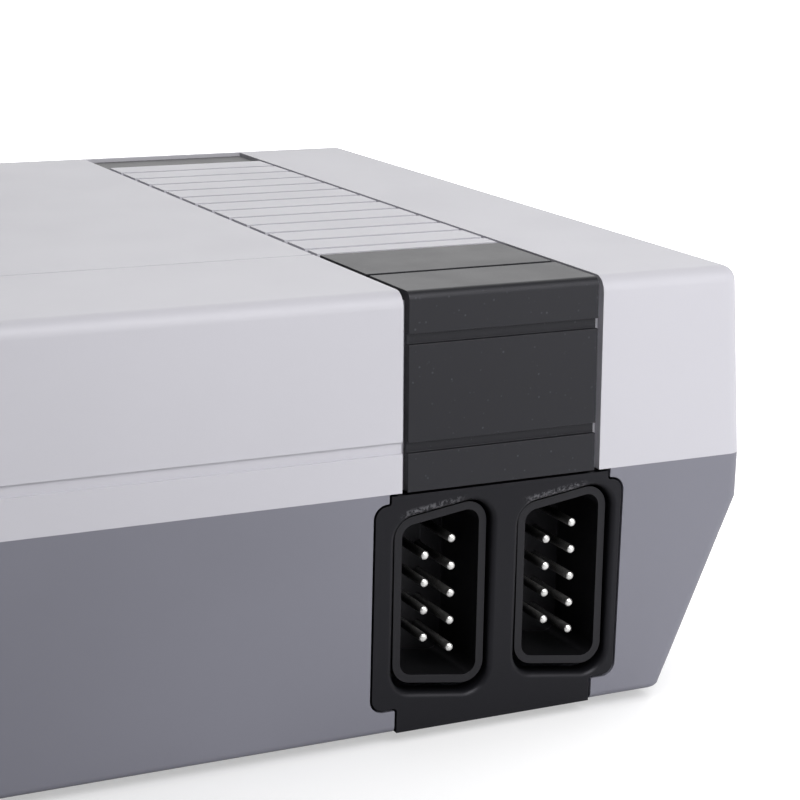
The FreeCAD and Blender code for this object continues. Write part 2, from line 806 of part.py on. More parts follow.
def make_trim_strip():
    """The strip bends over the front edge; bands and a slit cross it."""
    body = new_body("TrimStrip")
    draft = cell("upper_front_draft")
    lean = draft.value / cell("upper_height").value
    step = cell("channel_depth")
    back = front + cell("strip_top_length")

    def face_at(height):
        return front + (height - split) * round(lean, 5)

    outline = sketch_on(body, "StripOutline", "YZ_Plane", strip_left)
    draw_polygon(outline, [
        (front, split), (front + step, split), (front + draft + step, channel_floor),
        (back, channel_floor), (back, top), (front + draft, top),
    ])
    extrude(body, "Pad", "StripBlock", outline, strip_right - strip_left)
    corner = front.value + draft.value

    def at_front_edge(edge):
        start, end = edge_ends(edge)
        return all(abs(p.y - corner) < NEAR and abs(p.z - top.value) < NEAR for p in (start, end))

    round_edges(body, "StripBend", cell("strip_bend_radius"), at_front_edge)
    outside = strip_left - OVERCUT
    across = strip_right - strip_left + 2 * OVERCUT
    for name, drop in (("UpperBand", "upper_band_drop"), ("LowerBand", "lower_band_drop")):
        high = top - cell(drop)
        low = high - cell("strip_band_height")
        depth = cell("strip_band_depth")
        before = front - OVERCUT
        band = sketch_on(body, f"{name}Outline", "YZ_Plane", outside)
        draw_polygon(band, [
            (before, low), (face_at(low) + depth, low), (face_at(high) + depth, high), (before, high),
        ])
        extrude(body, "Pocket", name, band, across, backwards=True)
    slit = sketch_on(body, "SlitOutline", "YZ_Plane", outside)
    slit_front = front + cell("strip_slit_setback") - cell("strip_slit_width") / 2
    slit_span = (slit_front, slit_front + cell("strip_slit_width"))
    draw_rectangle(slit, slit_span, (top - cell("strip_band_depth"), top + OVERCUT))
    extrude(body, "Pocket", "Slit", slit, across, backwards=True)
    return node("trim_strip", body)


def make_rear_trim():
    """A thin black plate on the channel floor between the last rib and the rear rim."""
    body = new_body("RearTrim")
    outline = sketch_on(body, "RearTrimOutline", "XY_Plane", channel_floor)
    gap = cell("strip_gap") / 2
    plate_back = channel_end - gap
    draw_rectangle(outline, (channel_left + gap, channel_right - gap),
                   (plate_back - cell("rear_trim_length"), plate_back))
    extrude(body, "Pad", "RearTrimPlate", outline, cell("rear_trim_thickness"))
    return node("rear_trim", body)


# ---------------------------------------------------------------- controller ports

def port_screw_places():
    middle = (port_xs[0] + port_xs[1]) / 2
    return [(middle, port_axis_z + side * cell("port_screw_spread")) for side in (-1, 1)]


def panel_face_at(height):
    """How far back the panel's leaning face lies at a height."""
    share = (split.value - height) / SIZES["lower_height"]
    return front.value + SIZES["lower_front_draft"] * share


def draw_d(sketch, x, z, grow, stretch=0):
    """A nine-pin port's rounded D, grown all round by one distance and made taller by another at each end."""
    corners = d_outline(x, z, grow, stretch)
    draw_outline(sketch, corners, [cell("port_corner") + grow] * len(corners))


def make_port_panel():
    """The bezel around both ports: its face leans with the shell, and each port stands in a wide opening."""
    body = new_body("PortPanel")
    outline = sketch_on(body, "PanelOutline", "XZ_Plane", -front)
    draw_panel_outline(outline, Length.of(0), split - cell("panel_gap"))
    extrude(body, "Pad", "PanelPlate", outline, cell("panel_thickness"), backwards=True)
    lean = sketch_on(body, "PanelLeanOutline", "YZ_Plane", left)
    below = bottom - OVERCUT
    before = front - OVERCUT
    leaned = front + cell("lower_front_draft")
    draw_polygon(lean, [(before, below), (leaned, below), (leaned, bottom), (front, split), (before, split)])
    extrude(body, "Pocket", "PanelLean", lean, cell("body_width"), backwards=True)

    grow = cell("port_wall") + cell("port_opening_gap")
    stretch = cell("port_opening_stretch")
    middle_z = port_axis_z - stretch
    for number, x in enumerate(port_xs, start=1):
        opening = sketch_on(body, f"OpeningOutline{number}", "XZ_Plane", OVERCUT - front)
        draw_d(opening, x, middle_z, grow, stretch)
        extrude(body, "Pocket", f"Opening{number}", opening, cell("panel_thickness") + 2 * OVERCUT)

        def at_rim(edge, rim_x=x.value):
            """Whether an edge runs around this opening in the panel's leaning face."""
            points = [vertex.Point for vertex in edge.Vertexes]
            middle = edge.CenterOfMass
            reach_x = SIZES["port_width"] / 2 + grow.value + NEAR
            reach_z = SIZES["port_wide_height"] / 2 + grow.value + stretch.value
            close = abs(middle.x - rim_x) < reach_x and abs(middle.z - middle_z.value) < reach_z
            return close and all(abs(point.y - panel_face_at(point.z)) < NEAR for point in points)

        round_edges(body, f"OpeningRim{number}", cell("port_rim_radius"), at_rim)

    # Posts behind the panel carry the port board.
    panel_back = front + cell("panel_thickness")
    posts = sketch_on(body, "PortPostOutline", "XZ_Plane", -(panel_back - SINK))
    for x, z in port_screw_places():
        draw_circle(posts, x, z, cell("port_post_radius"))
    extrude(body, "Pad", "PortPosts", posts, port_board_front - panel_back + SINK, backwards=True)
    pilots = sketch_on(body, "PortPilotOutline", "XZ_Plane", -(port_board_front + OVERCUT))
    for x, z in port_screw_places():
        draw_circle(pilots, x, z, cell("board_screw_radius"))
    extrude(body, "Pocket", "PortPilots", pilots, cell("board_screw_length") - SINK, backwards=True)
    return node("port_panel", body)


def pin_places(x):
    """Nine pins in two upright rows: four in the left row and five in the right."""
    pitch = cell("pin_pitch")
    spacing = cell("pin_row_spacing") / 2
    four = [(x - spacing, port_axis_z + (index - 1.5) * pitch) for index in range(4)]
    five = [(x + spacing, port_axis_z + (index - 2) * pitch) for index in range(5)]
    return four + five


def make_port_housing(label, x):
    """A D-shaped socket with a closed floor that the pins pass through."""
    name = label.title().replace("_", "")
    body = new_body(name)
    mouth = front + cell("port_setback") + cell("lower_front_draft") / 2
    outline = sketch_on(body, f"{name}Outline", "XZ_Plane", -mouth)
    draw_d(outline, x, port_axis_z, cell("port_wall"))
    extrude(body, "Pad", f"{name}Block", outline, port_board_front - mouth, backwards=True)
    cavity = sketch_on(body, f"{name}CavityOutline", "XZ_Plane", OVERCUT - mouth)
    draw_d(cavity, x, port_axis_z, Length.of(0))
    extrude(body, "Pocket", f"{name}Cavity", cavity, front + cell("port_floor") - mouth + OVERCUT)
    ways = sketch_on(body, f"{name}PinWays", "XZ_Plane", -(port_board_front + OVERCUT))
    for pin_x, pin_z in pin_places(x):
        draw_circle(ways, pin_x, pin_z, cell("pin_radius"))
    extrude(body, "Pocket", f"{name}PinHoles", ways, cell("port_base") + 2 * OVERCUT, backwards=True)
    return node(label, body)


def make_port_pins(label, x):
    name = label.title().replace("_", "")
    pins = []
    tip = front + cell("pin_setback") + cell("lower_front_draft") / 2
    radius = cell("pin_radius")
    dome = cell("pin_dome")
    tail = port_board_back + cell("pin_tail")
    for number, (pin_x, pin_z) in enumerate(pin_places(x), start=1):
        centre = (pin_x, tip + dome, pin_z)
        shaft = rod(f"{name}Shaft{number}", radius, centre, tail - tip - dome, "y")
        nose = flat_dome(f"{name}Nose{number}", radius, dome, centre)
        pins.append(fused(f"{name}Pin{number}", [shaft, nose]))
    return node(label, group(name, pins))


def make_port_board():
    body = new_body("PortBoard")
    outline = sketch_on(body, "PortBoardOutline", "XZ_Plane", -port_board_front)
    lap = cell("port_board_lap")
    draw_rectangle(outline, (channel_left - lap, channel_right + lap),
                   (bottom + wall + lap, split - cell("port_board_drop")))
    extrude(body, "Pad", "PortBoardPlate", outline, cell("board_thickness"), backwards=True)
    holes = sketch_on(body, "PortBoardHoleOutline", "XZ_Plane", OVERCUT - port_board_front)
    for x in port_xs:
        for pin_x, pin_z in pin_places(x):
            draw_circle(holes, pin_x, pin_z, cell("pin_radius"))
    for x, z in port_screw_places():
        draw_circle(holes, x, z, cell("board_screw_radius") + SCREW_CLEARANCE)
    extrude(body, "Pocket", "PortBoardHoles", holes, cell("board_thickness") + 2 * OVERCUT)
    return node("port_board", body)


def level_screw(name, x, y, z):
    """A round-headed screw whose head sits behind a board at y and whose thread runs to the front."""
    head = rod(f"{name}Head", cell("board_screw_head_radius"), (x, y, z), cell("board_screw_head"), "y")
    length = cell("board_screw_length")
    thread = rod(f"{name}Thread", cell("board_screw_radius"), (x, y - length, z), length, "y")
    return fused(name, [head, thread])


def make_port_board_screws():
    screws = [level_screw(f"PortScrew{number}", x, port_board_back, z)
              for number, (x, z) in enumerate(port_screw_places(), start=1)]
    return node("port_board_screws", group("PortBoardScrews", screws))


# ---------------------------------------------------------------- power and reset controls

def control_screw_places():
    middle = (power_x + reset_x) / 2
    return [(middle, control_z + side * cell("control_screw_spread")) for side in (-1, 1)]


def make_control_bezel():
    body = new_body("ControlBezel")
    gap = cell("bezel_gap")
    outline = sketch_on(body, "BezelOutline", "XZ_Plane", -bezel_face)
    draw_rectangle(outline, (bezel_left + gap, bezel_right - gap), (bezel_bottom + gap, bezel_top - gap))
    extrude(body, "Pad", "BezelPlate", outline, cell("bezel_thickness"), backwards=True)
    windows = sketch_on(body, "ButtonWindowOutline", "XZ_Plane", OVERCUT - bezel_face)
    half_width = cell("button_width") / 2 + cell("button_gap")
    half_height = cell("button_height") / 2 + cell("button_gap")
    heights = (control_z - half_height, control_z + half_height)
    for x in (power_x, reset_x):
        draw_rectangle(windows, (x - half_width, x + half_width), heights)
    draw_circle(windows, led_x, control_z, cell("led_radius") + gap)
    extrude(body, "Pocket", "ButtonWindows", windows, cell("bezel_thickness") + 2 * OVERCUT)
    posts = sketch_on(body, "BezelPostOutline", "XZ_Plane", -(bezel_back - SINK))
    for x, z in control_screw_places():
        draw_circle(posts, x, z, cell("control_post_radius"))
    extrude(body, "Pad", "BezelPosts", posts, switch_board_front - bezel_back + SINK, backwards=True)
    pilots = sketch_on(body, "BezelPilotOutline", "XZ_Plane", -(switch_board_front + OVERCUT))
    for x, z in control_screw_places():
        draw_circle(pilots, x, z, cell("board_screw_radius"))
    extrude(body, "Pocket", "BezelPilots", pilots, cell("board_screw_length"), backwards=True)
    return node("control_bezel", body)


def make_button(label, x):
    """A cap with a stop flange behind the bezel and a stem that reaches the switch's plunger."""
    name = label.title().replace("_", "")
    body = new_body(name)
    half_width = cell("button_width") / 2
    half_height = cell("button_height") / 2
    cap = sketch_on(body, f"{name}CapOutline", "XZ_Plane", -button_face)
    draw_rectangle(cap, (x - half_width, x + half_width), (control_z - half_height, control_z + half_height))
    flange_face = bezel_back + cell("plunger_gap")
    extrude(body, "Pad", f"{name}Cap", cap, flange_face - button_face, backwards=True)
    flange = sketch_on(body, f"{name}FlangeOutline", "XZ_Plane", -flange_face)
    rim = cell("button_flange")
    draw_rectangle(flange, (x - half_width - rim, x + half_width + rim),
                   (control_z - half_height - rim, control_z + half_height + rim))
    extrude(body, "Pad", f"{name}Flange", flange, cell("button_flange_thickness"), backwards=True)
    stem = sketch_on(body, f"{name}StemOutline", "XZ_Plane", -flange_face)
    reach = cell("button_stem") / 2
    draw_rectangle(stem, (x - reach, x + reach), (control_z - reach, control_z + reach))
    extrude(body, "Pad", f"{name}Stem", stem, plunger_front - flange_face, backwards=True)

    def at_face(edge):
        start, end = edge_ends(edge)
        return abs(start.y - button_face.value) < NEAR and abs(end.y - button_face.value) < NEAR

    round_edges(body, f"{name}Edge", cell("button_edge_radius"), at_face)
    return node(label, body)


switch_front = switch_board_front - cell("switch_body_depth")
plunger_front = switch_front - cell("power_travel") - cell("plunger_lead")
well_floor = switch_board_front - cell("switch_well_floor")


def make_switch(label, x):
    """A square push switch on the switch board, with a well for its plunger."""
    name = label.title().replace("_", "")
    half = cell("switch_size") / 2
    hole = cell("plunger_size") / 2 + cell("plunger_gap")
    block = box(f"{name}Block", (x - half, x + half), (switch_front, switch_board_front),
                (control_z - half, control_z + half))
    well = box(f"{name}Well", (x - hole, x + hole), (switch_front - OVERCUT, well_floor),
               (control_z - hole, control_z + hole))
    return node(label, less(name, block, [well]))


def make_plunger(label, x):
    name = label.title().replace("_", "")
    half = cell("plunger_size") / 2
    back = well_floor - cell("power_travel") - cell("plunger_clearance")
    block = box(name, (x - half, x + half), (plunger_front, back), (control_z - half, control_z + half))
    return node(label, block)


def make_power_led():
    """A round indicator lamp: a flanged epoxy body with a domed nose in the bezel's hole."""
    radius = cell("led_radius")
    nose_y = bezel_face + radius
    barrel_length = cell("led_barrel")
    collar_length = cell("led_collar_length")
    collar_y = nose_y + barrel_length - collar_length
    barrel = rod("LedBarrel", radius, (led_x, nose_y, control_z), barrel_length, "y")
    nose = ball("LedNose", radius, (led_x, nose_y, control_z))
    collar_radius = radius + cell("led_collar_rim")
    collar = rod("LedCollar", collar_radius, (led_x, collar_y, control_z), collar_length, "y")
    return node("power_led", fused("PowerLed", [barrel, nose, collar]))


def led_lead_places():
    return [led_x + side * cell("led_lead_pitch") / 2 for side in (-1, 1)]


def make_led_leads():
    start = bezel_face + cell("led_radius") + cell("led_barrel")
    length = switch_board_back + cell("led_collar_length") - start
    leads = [rod(f"LedLead{number}", cell("led_lead_radius"), (x, start, control_z), length, "y")
             for number, x in enumerate(led_lead_places(), start=1)]
    return node("led_leads", group("LedLeads", leads))


def make_switch_board():
    body = new_body("SwitchBoard")
    outline = sketch_on(body, "SwitchBoardOutline", "XZ_Plane", -switch_board_front)
    margin = cell("switch_board_margin")
    lap = cell("switch_board_lap")
    draw_rectangle(outline, (bezel_left + margin, bezel_right + 2 * margin),
                   (bezel_bottom - lap, bezel_top + lap))
    extrude(body, "Pad", "SwitchBoardPlate", outline, cell("board_thickness"), backwards=True)
    holes = sketch_on(body, "SwitchBoardHoleOutline", "XZ_Plane", OVERCUT - switch_board_front)
    for x, z in control_screw_places():
        draw_circle(holes, x, z, cell("board_screw_radius") + SCREW_CLEARANCE)
    for x in led_lead_places():
        draw_circle(holes, x, control_z, cell("led_lead_radius"))
    extrude(body, "Pocket", "SwitchBoardHoles", holes, cell("board_thickness") + 2 * OVERCUT)
    return node("switch_board", body)


def make_switch_board_screws():
    screws = [level_screw(f"SwitchScrew{number}", x, switch_board_back, z)
              for number, (x, z) in enumerate(control_screw_places(), start=1)]
    return node("switch_board_screws", group("SwitchBoardScrews", screws))


# ---------------------------------------------------------------- main board

def main_board_screw_places():
    inset = cell("main_board_screw_inset")
    return [(x, y) for x in (cell("main_board_left") + inset, cell("main_board_right") - inset)
            for y in (main_board_front + inset, main_board_back - cell("main_board_screw_rear"))]


def make_main_board():
    body = new_body("MainBoard")
    outline = sketch_on(body, "MainBoardOutline", "XY_Plane", main_board_bottom)
    draw_rectangle(outline, (cell("main_board_left"), cell("main_board_right")),
                   (main_board_front, main_board_back))
    extrude(body, "Pad", "MainBoardPlate", outline, cell("board_thickness"))
    holes = sketch_on(body, "MainBoardHoleOutline", "XY_Plane", main_board_bottom - OVERCUT)
    for x, y in main_board_screw_places():
        draw_circle(holes, x, y, cell("board_screw_radius") + SCREW_CLEARANCE)
    extrude(body, "Pocket", "MainBoardHoles", holes, cell("board_thickness") + 2 * OVERCUT, backwards=True)
    return node("main_board", body)


def make_main_board_screws():
    screws = []
    length = cell("board_screw_length")
    for number, (x, y) in enumerate(main_board_screw_places(), start=1):
        head = rod(f"MainScrewHead{number}", cell("board_screw_head_radius"), (x, y, main_board_top),
                   cell("board_screw_head"))
        thread = rod(f"MainScrewThread{number}", cell("board_screw_radius"),
                     (x, y, main_board_top - length), length)
        screws.append(fused(f"MainScrew{number}", [head, thread]))
    return node("main_board_screws", group("MainBoardScrews", screws))


def chip_dome(label, name, x, y, radius, rise):
    """A chip bonded to the board under a low dome of black resin."""
    sphere_radius = (radius * radius + rise * rise) / (2 * rise)
    centre_z = main_board_top + rise - sphere_radius
    sphere = ball(f"{name}Ball", sphere_radius, (x, y, centre_z))
    slab = box(f"{name}Slab", (x - radius, x + radius), (y - radius, y + radius),
               (main_board_top, main_board_top + rise + OVERCUT))
    return node(label, common(name, [sphere, slab]))


def make_chips():
    chip_y = main_board_front + cell("chip_setback")
    for label in ("console_chip", "memory_chip"):
        chip_dome(label, label.title().replace("_", ""), cell(f"{label}_place"), chip_y,
                  cell(f"{label}_radius"), cell(f"{label}_rise"))


def make_crystal():
    """A low metal can with rounded ends."""
    x, y = cell("crystal_place"), main_board_front + cell("crystal_setback")
    half, radius, height = cell("crystal_half_length"), cell("crystal_end_radius"), cell("crystal_height")
    core = box("CrystalCore", (x - half, x + half), (y - radius, y + radius),
               (main_board_top, main_board_top + height))
    ends = [rod(f"CrystalEnd{number}", radius, (x + side * half, y, main_board_top), height)
            for number, side in enumerate((-1, 1), start=1)]
    return node("crystal", fused("Crystal", [core] + ends))


def make_capacitors():
    """Upright electrolytic cans beside the power socket, one large and two small."""
    row_y = main_board_back - cell("capacitor_setback")
    small_x = cell("small_capacitor_place")
    places = [("large_capacitor", cell("large_capacitor_place")), ("small_capacitor", small_x),
              ("small_capacitor", small_x - cell("small_capacitor_spacing"))]
    cans = [rod(f"Capacitor{number}", cell(f"{kind}_radius"), (x, row_y, main_board_top),
                cell(f"{kind}_height"))
            for number, (kind, x) in enumerate(places, start=1)]
    return node("capacitors", group("Capacitors", cans))


def make_regulator():
    x, y = cell("regulator_place"), main_board_front + cell("regulator_setback")
    half_width, half_depth = cell("regulator_width") / 2, cell("regulator_depth") / 2
    block = box("RegulatorBlock", (x - half_width, x + half_width), (y - half_depth, y + half_depth),
                (main_board_top, main_board_top + cell("regulator_height")))
    half_tab = cell("regulator_tab_width") / 2
    tab_front = y + half_depth
    tab = box("RegulatorTab", (x - half_tab, x + half_tab),
              (tab_front, tab_front + cell("regulator_tab_depth")),
              (main_board_top, main_board_top + cell("regulator_tab_height")))
    return node("regulator", fused("Regulator", [block, tab]))


# ---------------------------------------------------------------- rear sockets

jack_end = rear + cell("jack_overhang")
jack_start = rear - wall - cell("jack_wall_gap")
power_nose_end = rear - cell("power_jack_nose_setback")


def make_av_jack(label, x):
    """The plastic of one round AV socket: a block on the board and the core inside the metal sleeve."""
    name = label.title().replace("_", "")
    half = cell("jack_block") / 2
    block = box(f"{name}Block", (x - half, x + half), (jack_start - cell("jack_block_depth"), jack_start),
                (main_board_top, jack_axis_z + half))
    core = rod(f"{name}Core", cell("jack_bore"), (x, jack_start - SINK, jack_axis_z),
               jack_end - jack_start - SINK, "y")
    depth = cell("jack_hole_depth")
    hole = rod(f"{name}Hole", cell("jack_contact_radius"), (x, jack_end - depth, jack_axis_z),
               depth + OVERCUT, "y")
    return node(label, less(name, fused(f"{name}Solid", [block, core]), [hole]))


def make_jack_sleeves():
    sleeves = []
    length = jack_end - jack_start
    for number, place in enumerate(("video_jack_place", "audio_jack_place"), start=1):
        x = cell(place)
        tube = rod(f"SleeveTube{number}", cell("jack_radius"), (x, jack_start, jack_axis_z), length, "y")
        bore = rod(f"SleeveBore{number}", cell("jack_bore"), (x, jack_start - OVERCUT, jack_axis_z),
                   length + 2 * OVERCUT, "y")
        sleeves.append(less(f"Sleeve{number}", tube, [bore]))
    return node("jack_sleeves", group("JackSleeves", sleeves))


def make_jack_contacts():
    contacts = []
    length = cell("jack_contact_length")
    start = jack_end - cell("jack_contact_setback") - length
    for number, place in enumerate(("video_jack_place", "audio_jack_place"), start=1):
        x = cell(place)
        tube = rod(f"ContactTube{number}", cell("jack_contact_radius"), (x, start, jack_axis_z), length, "y")
        bore = rod(f"ContactBore{number}", cell("jack_contact_bore"), (x, start + SINK, jack_axis_z),
                   length, "y")
        contacts.append(less(f"Contact{number}", tube, [bore]))
    return node("jack_contacts", group("JackContacts", contacts))


def make_power_jack():
    """A barrel socket: a block on the board with a round nose in the rear wall."""
    x = cell("power_jack_place")
    half = cell("power_jack_width") / 2
    block = box("PowerJackBlock", (x - half, x + half), (jack_start - cell("power_jack_depth"), jack_start),
                (main_board_top, main_board_top + cell("power_jack_height")))
    nose = rod("PowerJackNose", cell("power_jack_nose"), (x, jack_start - SINK, jack_axis_z),
               power_nose_end - jack_start + SINK, "y")
    depth = cell("power_jack_bore_depth")
    bore = rod("PowerJackBore", cell("power_jack_bore"), (x, power_nose_end - depth, jack_axis_z),
               depth + OVERCUT, "y")
    return node("power_jack", less("PowerJack", fused("PowerJackSolid", [block, nose]), [bore]))


def make_power_jack_pin():
    x = cell("power_jack_place")
    start = power_nose_end - cell("power_jack_bore_depth")
    radius = cell("power_jack_pin")
    length = cell("power_jack_bore_depth") - cell("power_jack_pin_setback") - radius
    shaft = rod("JackPinShaft", radius, (x, start, jack_axis_z), length, "y")
    nose = ball("JackPinNose", radius, (x, start + length, jack_axis_z))
    return node("power_jack_pin", fused("PowerJackPin", [shaft, nose]))


# ---------------------------------------------------------------- ribbon cables

# The share of a flat cable's drop that its bend takes up.
RIBBON_BEND_SHARE = 0.8


def make_ribbon(label, start, high):
    """A flat cable that leaves an upright board level, bends down and lands on the main board."""
    name = label.title().replace("_", "")
    thickness = SIZES["ribbon_thickness"]
    low, start = main_board_top.value, start.value
    high = high.value + SIZES[f"{label}_rise"]
    landing = main_board_front.value + SIZES[f"{label}_landing"]
    bend = (high - low) * RIBBON_BEND_SHARE
    inner, outer = bend - thickness / 2, bend + thickness / 2
    upper, under = high + thickness / 2, high - thickness / 2
    back, fore = landing + thickness / 2, landing - thickness / 2
    centre = FreeCAD.Vector(0, back - outer, upper - outer)

    def spot(y, z):
        return FreeCAD.Vector(0, y, z)

    def quarter(radius):
        diagonal = radius * math.sqrt(0.5)
        ends = (spot(centre.y, centre.z + radius), spot(centre.y + radius, centre.z))
        middle = spot(centre.y + diagonal, centre.z + diagonal)
        return Part.Arc(ends[0], middle, ends[1])

    edges = [
        Part.LineSegment(spot(start, upper), spot(centre.y, upper)), quarter(outer),
        Part.LineSegment(spot(back, centre.z), spot(back, low)),
        Part.LineSegment(spot(back, low), spot(fore, low)),
        Part.LineSegment(spot(fore, low), spot(fore, centre.z)), quarter(inner),
        Part.LineSegment(spot(centre.y, under), spot(start, under)),
        Part.LineSegment(spot(start, under), spot(start, upper)),
    ]
    face = Part.Face(Part.Wire(Part.__sortEdges__([edge.toShape() for edge in edges])))
    cable = doc.addObject("Part::Feature", name)
    cable.Shape = face.extrude(FreeCAD.Vector(SIZES[f"{label}_width"], 0, 0))
    cable.Placement = FreeCAD.Placement(FreeCAD.Vector(SIZES[f"{label}_left"], 0, 0), FreeCAD.Rotation())
    return node(label, cable)


# ---------------------------------------------------------------- case screws and feet

def make_case_screws():
    screws = []
    seat = split - cell("case_well_roof")
    rise = cell("case_screw_head")
    length = cell("case_screw_length")
    for number, (x, y) in enumerate(case_posts, start=1):
        head = rod(f"CaseScrewHead{number}", cell("case_screw_head_radius"), (x, y, seat - rise), rise)
        thread = rod(f"CaseScrewThread{number}", cell("case_screw_radius"), (x, y, seat), length)
        screws.append(fused(f"CaseScrew{number}", [head, thread]))
    return node("case_screws", group("CaseScrews", screws))


def make_feet():
    height = cell("foot_height") + cell("foot_recess")
    feet = [rod(f"Foot{number}", cell("foot_radius"), (x, y, Length.of(0)), height)
            for number, (x, y) in enumerate(feet_places, start=1)]
    return node("feet", group("Feet", feet))


# ---------------------------------------------------------------- assembly

make_upper_shell()
make_lower_shell()
make_trim_strip()
make_rear_trim()
make_port_panel()
for side, port_x in zip(("left", "right"), port_xs):
    make_port_housing(f"port_housing_{side}", port_x)
    make_port_pins(f"port_pins_{side}", port_x)
make_port_board()
make_port_board_screws()
make_control_bezel()
for control, control_x in (("power", power_x), ("reset", reset_x)):
    make_button(f"{control}_button", control_x)
    make_switch(f"{control}_switch", control_x)
    make_plunger(f"{control}_plunger", control_x)
make_power_led()
make_led_leads()
make_switch_board()
make_switch_board_screws()
make_main_board()
make_main_board_screws()
make_chips()
make_crystal()
make_capacitors()
make_regulator()
make_av_jack("video_jack", cell("video_jack_place"))
make_av_jack("audio_jack", cell("audio_jack_place"))
make_jack_sleeves()
make_jack_contacts()
make_power_jack()
make_power_jack_pin()
make_ribbon("port_ribbon", port_board_back, port_axis_z)
make_ribbon("switch_ribbon", switch_board_back, control_z)
make_case_screws()
make_feet()
doc.recompute()

failed = [thing.Name for thing in doc.Objects if "Invalid" in thing.State or "Error" in thing.State]
if failed:
    raise RuntimeError(f"objects that did not build: {failed}")
for piece in NODES:
    if piece.Shape.isNull() or not piece.Shape.isValid():
        raise RuntimeError(f"{piece.Label} has no valid shape")
for piece in NODES:
    piece.Shape.exportStep(f"parts/{piece.Label}.step")
    print(f"{piece.Label}: {len(piece.Shape.Solids)} solid(s), {piece.Shape.Volume:.1f} mm3")
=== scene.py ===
import json
import math

import bmesh
import bpy
from mathutils import Matrix, Vector


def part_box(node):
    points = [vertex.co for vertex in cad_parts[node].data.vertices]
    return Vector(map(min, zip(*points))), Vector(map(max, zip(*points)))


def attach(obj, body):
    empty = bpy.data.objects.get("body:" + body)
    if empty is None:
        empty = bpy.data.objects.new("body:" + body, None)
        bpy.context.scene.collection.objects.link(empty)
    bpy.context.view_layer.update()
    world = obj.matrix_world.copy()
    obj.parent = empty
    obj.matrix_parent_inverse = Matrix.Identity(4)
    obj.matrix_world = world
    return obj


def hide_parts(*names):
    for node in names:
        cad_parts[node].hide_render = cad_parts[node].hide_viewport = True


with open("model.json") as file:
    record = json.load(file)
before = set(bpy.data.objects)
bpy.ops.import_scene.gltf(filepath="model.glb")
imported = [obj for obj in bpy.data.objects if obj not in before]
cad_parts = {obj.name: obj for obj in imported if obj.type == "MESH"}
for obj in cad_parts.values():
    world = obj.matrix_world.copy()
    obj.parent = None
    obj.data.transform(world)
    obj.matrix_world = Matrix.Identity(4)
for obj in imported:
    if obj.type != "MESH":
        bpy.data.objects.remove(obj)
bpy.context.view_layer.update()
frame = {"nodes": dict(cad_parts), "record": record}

# A small two-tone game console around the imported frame. The scene is in metres, so MM turns a size that is
# thought of in millimetres into a length of the scene.

MM = 0.001
NODES = frame["nodes"]

# ---------------------------------------------------------------- camera, light and floor

CAMERA_PLACE = Vector((-64.0, -229.8, 83.7)) * MM
CAMERA_LENS = 99.0
CAMERA_YAW = math.radians(26.05)
CAMERA_DROP = math.radians(13.99)
CAMERA_ROLL = math.radians(0.97)
CAMERA_CLIP = 0.01

WHITE = (1.0, 1.0, 1.0, 1.0)

# The sky's strength in front of the console and behind it, and how far each side of straight up it changes.
SKY_BEFORE = 0.15
SKY_BEHIND = 0.39
SKY_FADE = 0.5

# The floor glows more and more towards the rear right. Each span is a stretch of x + y in metres.
FLOOR_SIZE = 6.0
FLOOR_COLOUR = (0.50, 0.50, 0.51)
FLOOR_PATCH = 60.0
GLOW_NEAR = 0.5
GLOW_FAR = 1.1
NEAR_SPAN = (-0.10, 0.0)
FAR_SPAN = (0.05, 0.45)
# What the camera alone sees on top.
GLOW_SEEN = 0.45
# How far the console's painted shadow dims the near glow, in millimetres, and the openness where the painted
# shadow is full and where it ends.
GLOW_SHADOW_REACH = 45.0
GLOW_OPENNESS = (0.35, 0.95)

# Each lamp's place, the point that it faces, its width in metres and its power in watts.
LAMPS = {
    "front_light": ((0.09, -0.40, 0.42), (0.03, -0.04, 0.02), 0.3, 1.55),
    "near_light": ((0.12, -0.22, 0.10), (0.03, -0.04, 0.02), 0.15, 0.175),
    "rear_light": ((0.22, 0.32, 0.24), (0.0, 0.02, 0.03), 0.4, 0.64),
}


def add_object(name, data):
    """A new object in the scene."""
    thing = bpy.data.objects.new(name, data)
    bpy.context.scene.collection.objects.link(thing)
    return thing


def make_camera():
    """A long lens, low at the front left, turned a little about its own axis."""
    camera = add_object("camera", bpy.data.cameras.new("camera"))
    camera.data.lens = CAMERA_LENS
    camera.data.clip_start = CAMERA_CLIP
    turn = Matrix.Rotation(-CAMERA_YAW, 4, "Z") @ Matrix.Rotation(math.pi / 2 - CAMERA_DROP, 4, "X")
    camera.matrix_world = Matrix.Translation(CAMERA_PLACE) @ turn @ Matrix.Rotation(CAMERA_ROLL, 4, "Z")
    bpy.context.scene.camera = camera


def make_sky():
    """A studio that is plain white to the camera and lights the console more from behind."""
    world = bpy.data.worlds.new("studio")
    bpy.context.scene.world = world
    world.use_nodes = True
    tree = world.node_tree
    place = tree.nodes.new("ShaderNodeTexCoord")
    parts = tree.nodes.new("ShaderNodeSeparateXYZ")
    tree.links.new(place.outputs["Generated"], parts.inputs[0])
    strength = tree.nodes.new("ShaderNodeMapRange")
    strength.interpolation_type = "SMOOTHSTEP"
    strength.inputs["From Min"].default_value = -SKY_FADE
    strength.inputs["From Max"].default_value = SKY_FADE
    strength.inputs["To Min"].default_value = SKY_BEFORE
    strength.inputs["To Max"].default_value = SKY_BEHIND
    tree.links.new(parts.outputs["Y"], strength.inputs["Value"])
    light_path = tree.nodes.new("ShaderNodeLightPath")
    seen = tree.nodes.new("ShaderNodeMath")
    seen.operation = "MAXIMUM"
    tree.links.new(strength.outputs[0], seen.inputs[0])
    tree.links.new(light_path.outputs["Is Camera Ray"], seen.inputs[1])
    tree.links.new(seen.outputs[0], tree.nodes["Background"].inputs["Strength"])
    tree.nodes["Background"].inputs["Color"].default_value = WHITE


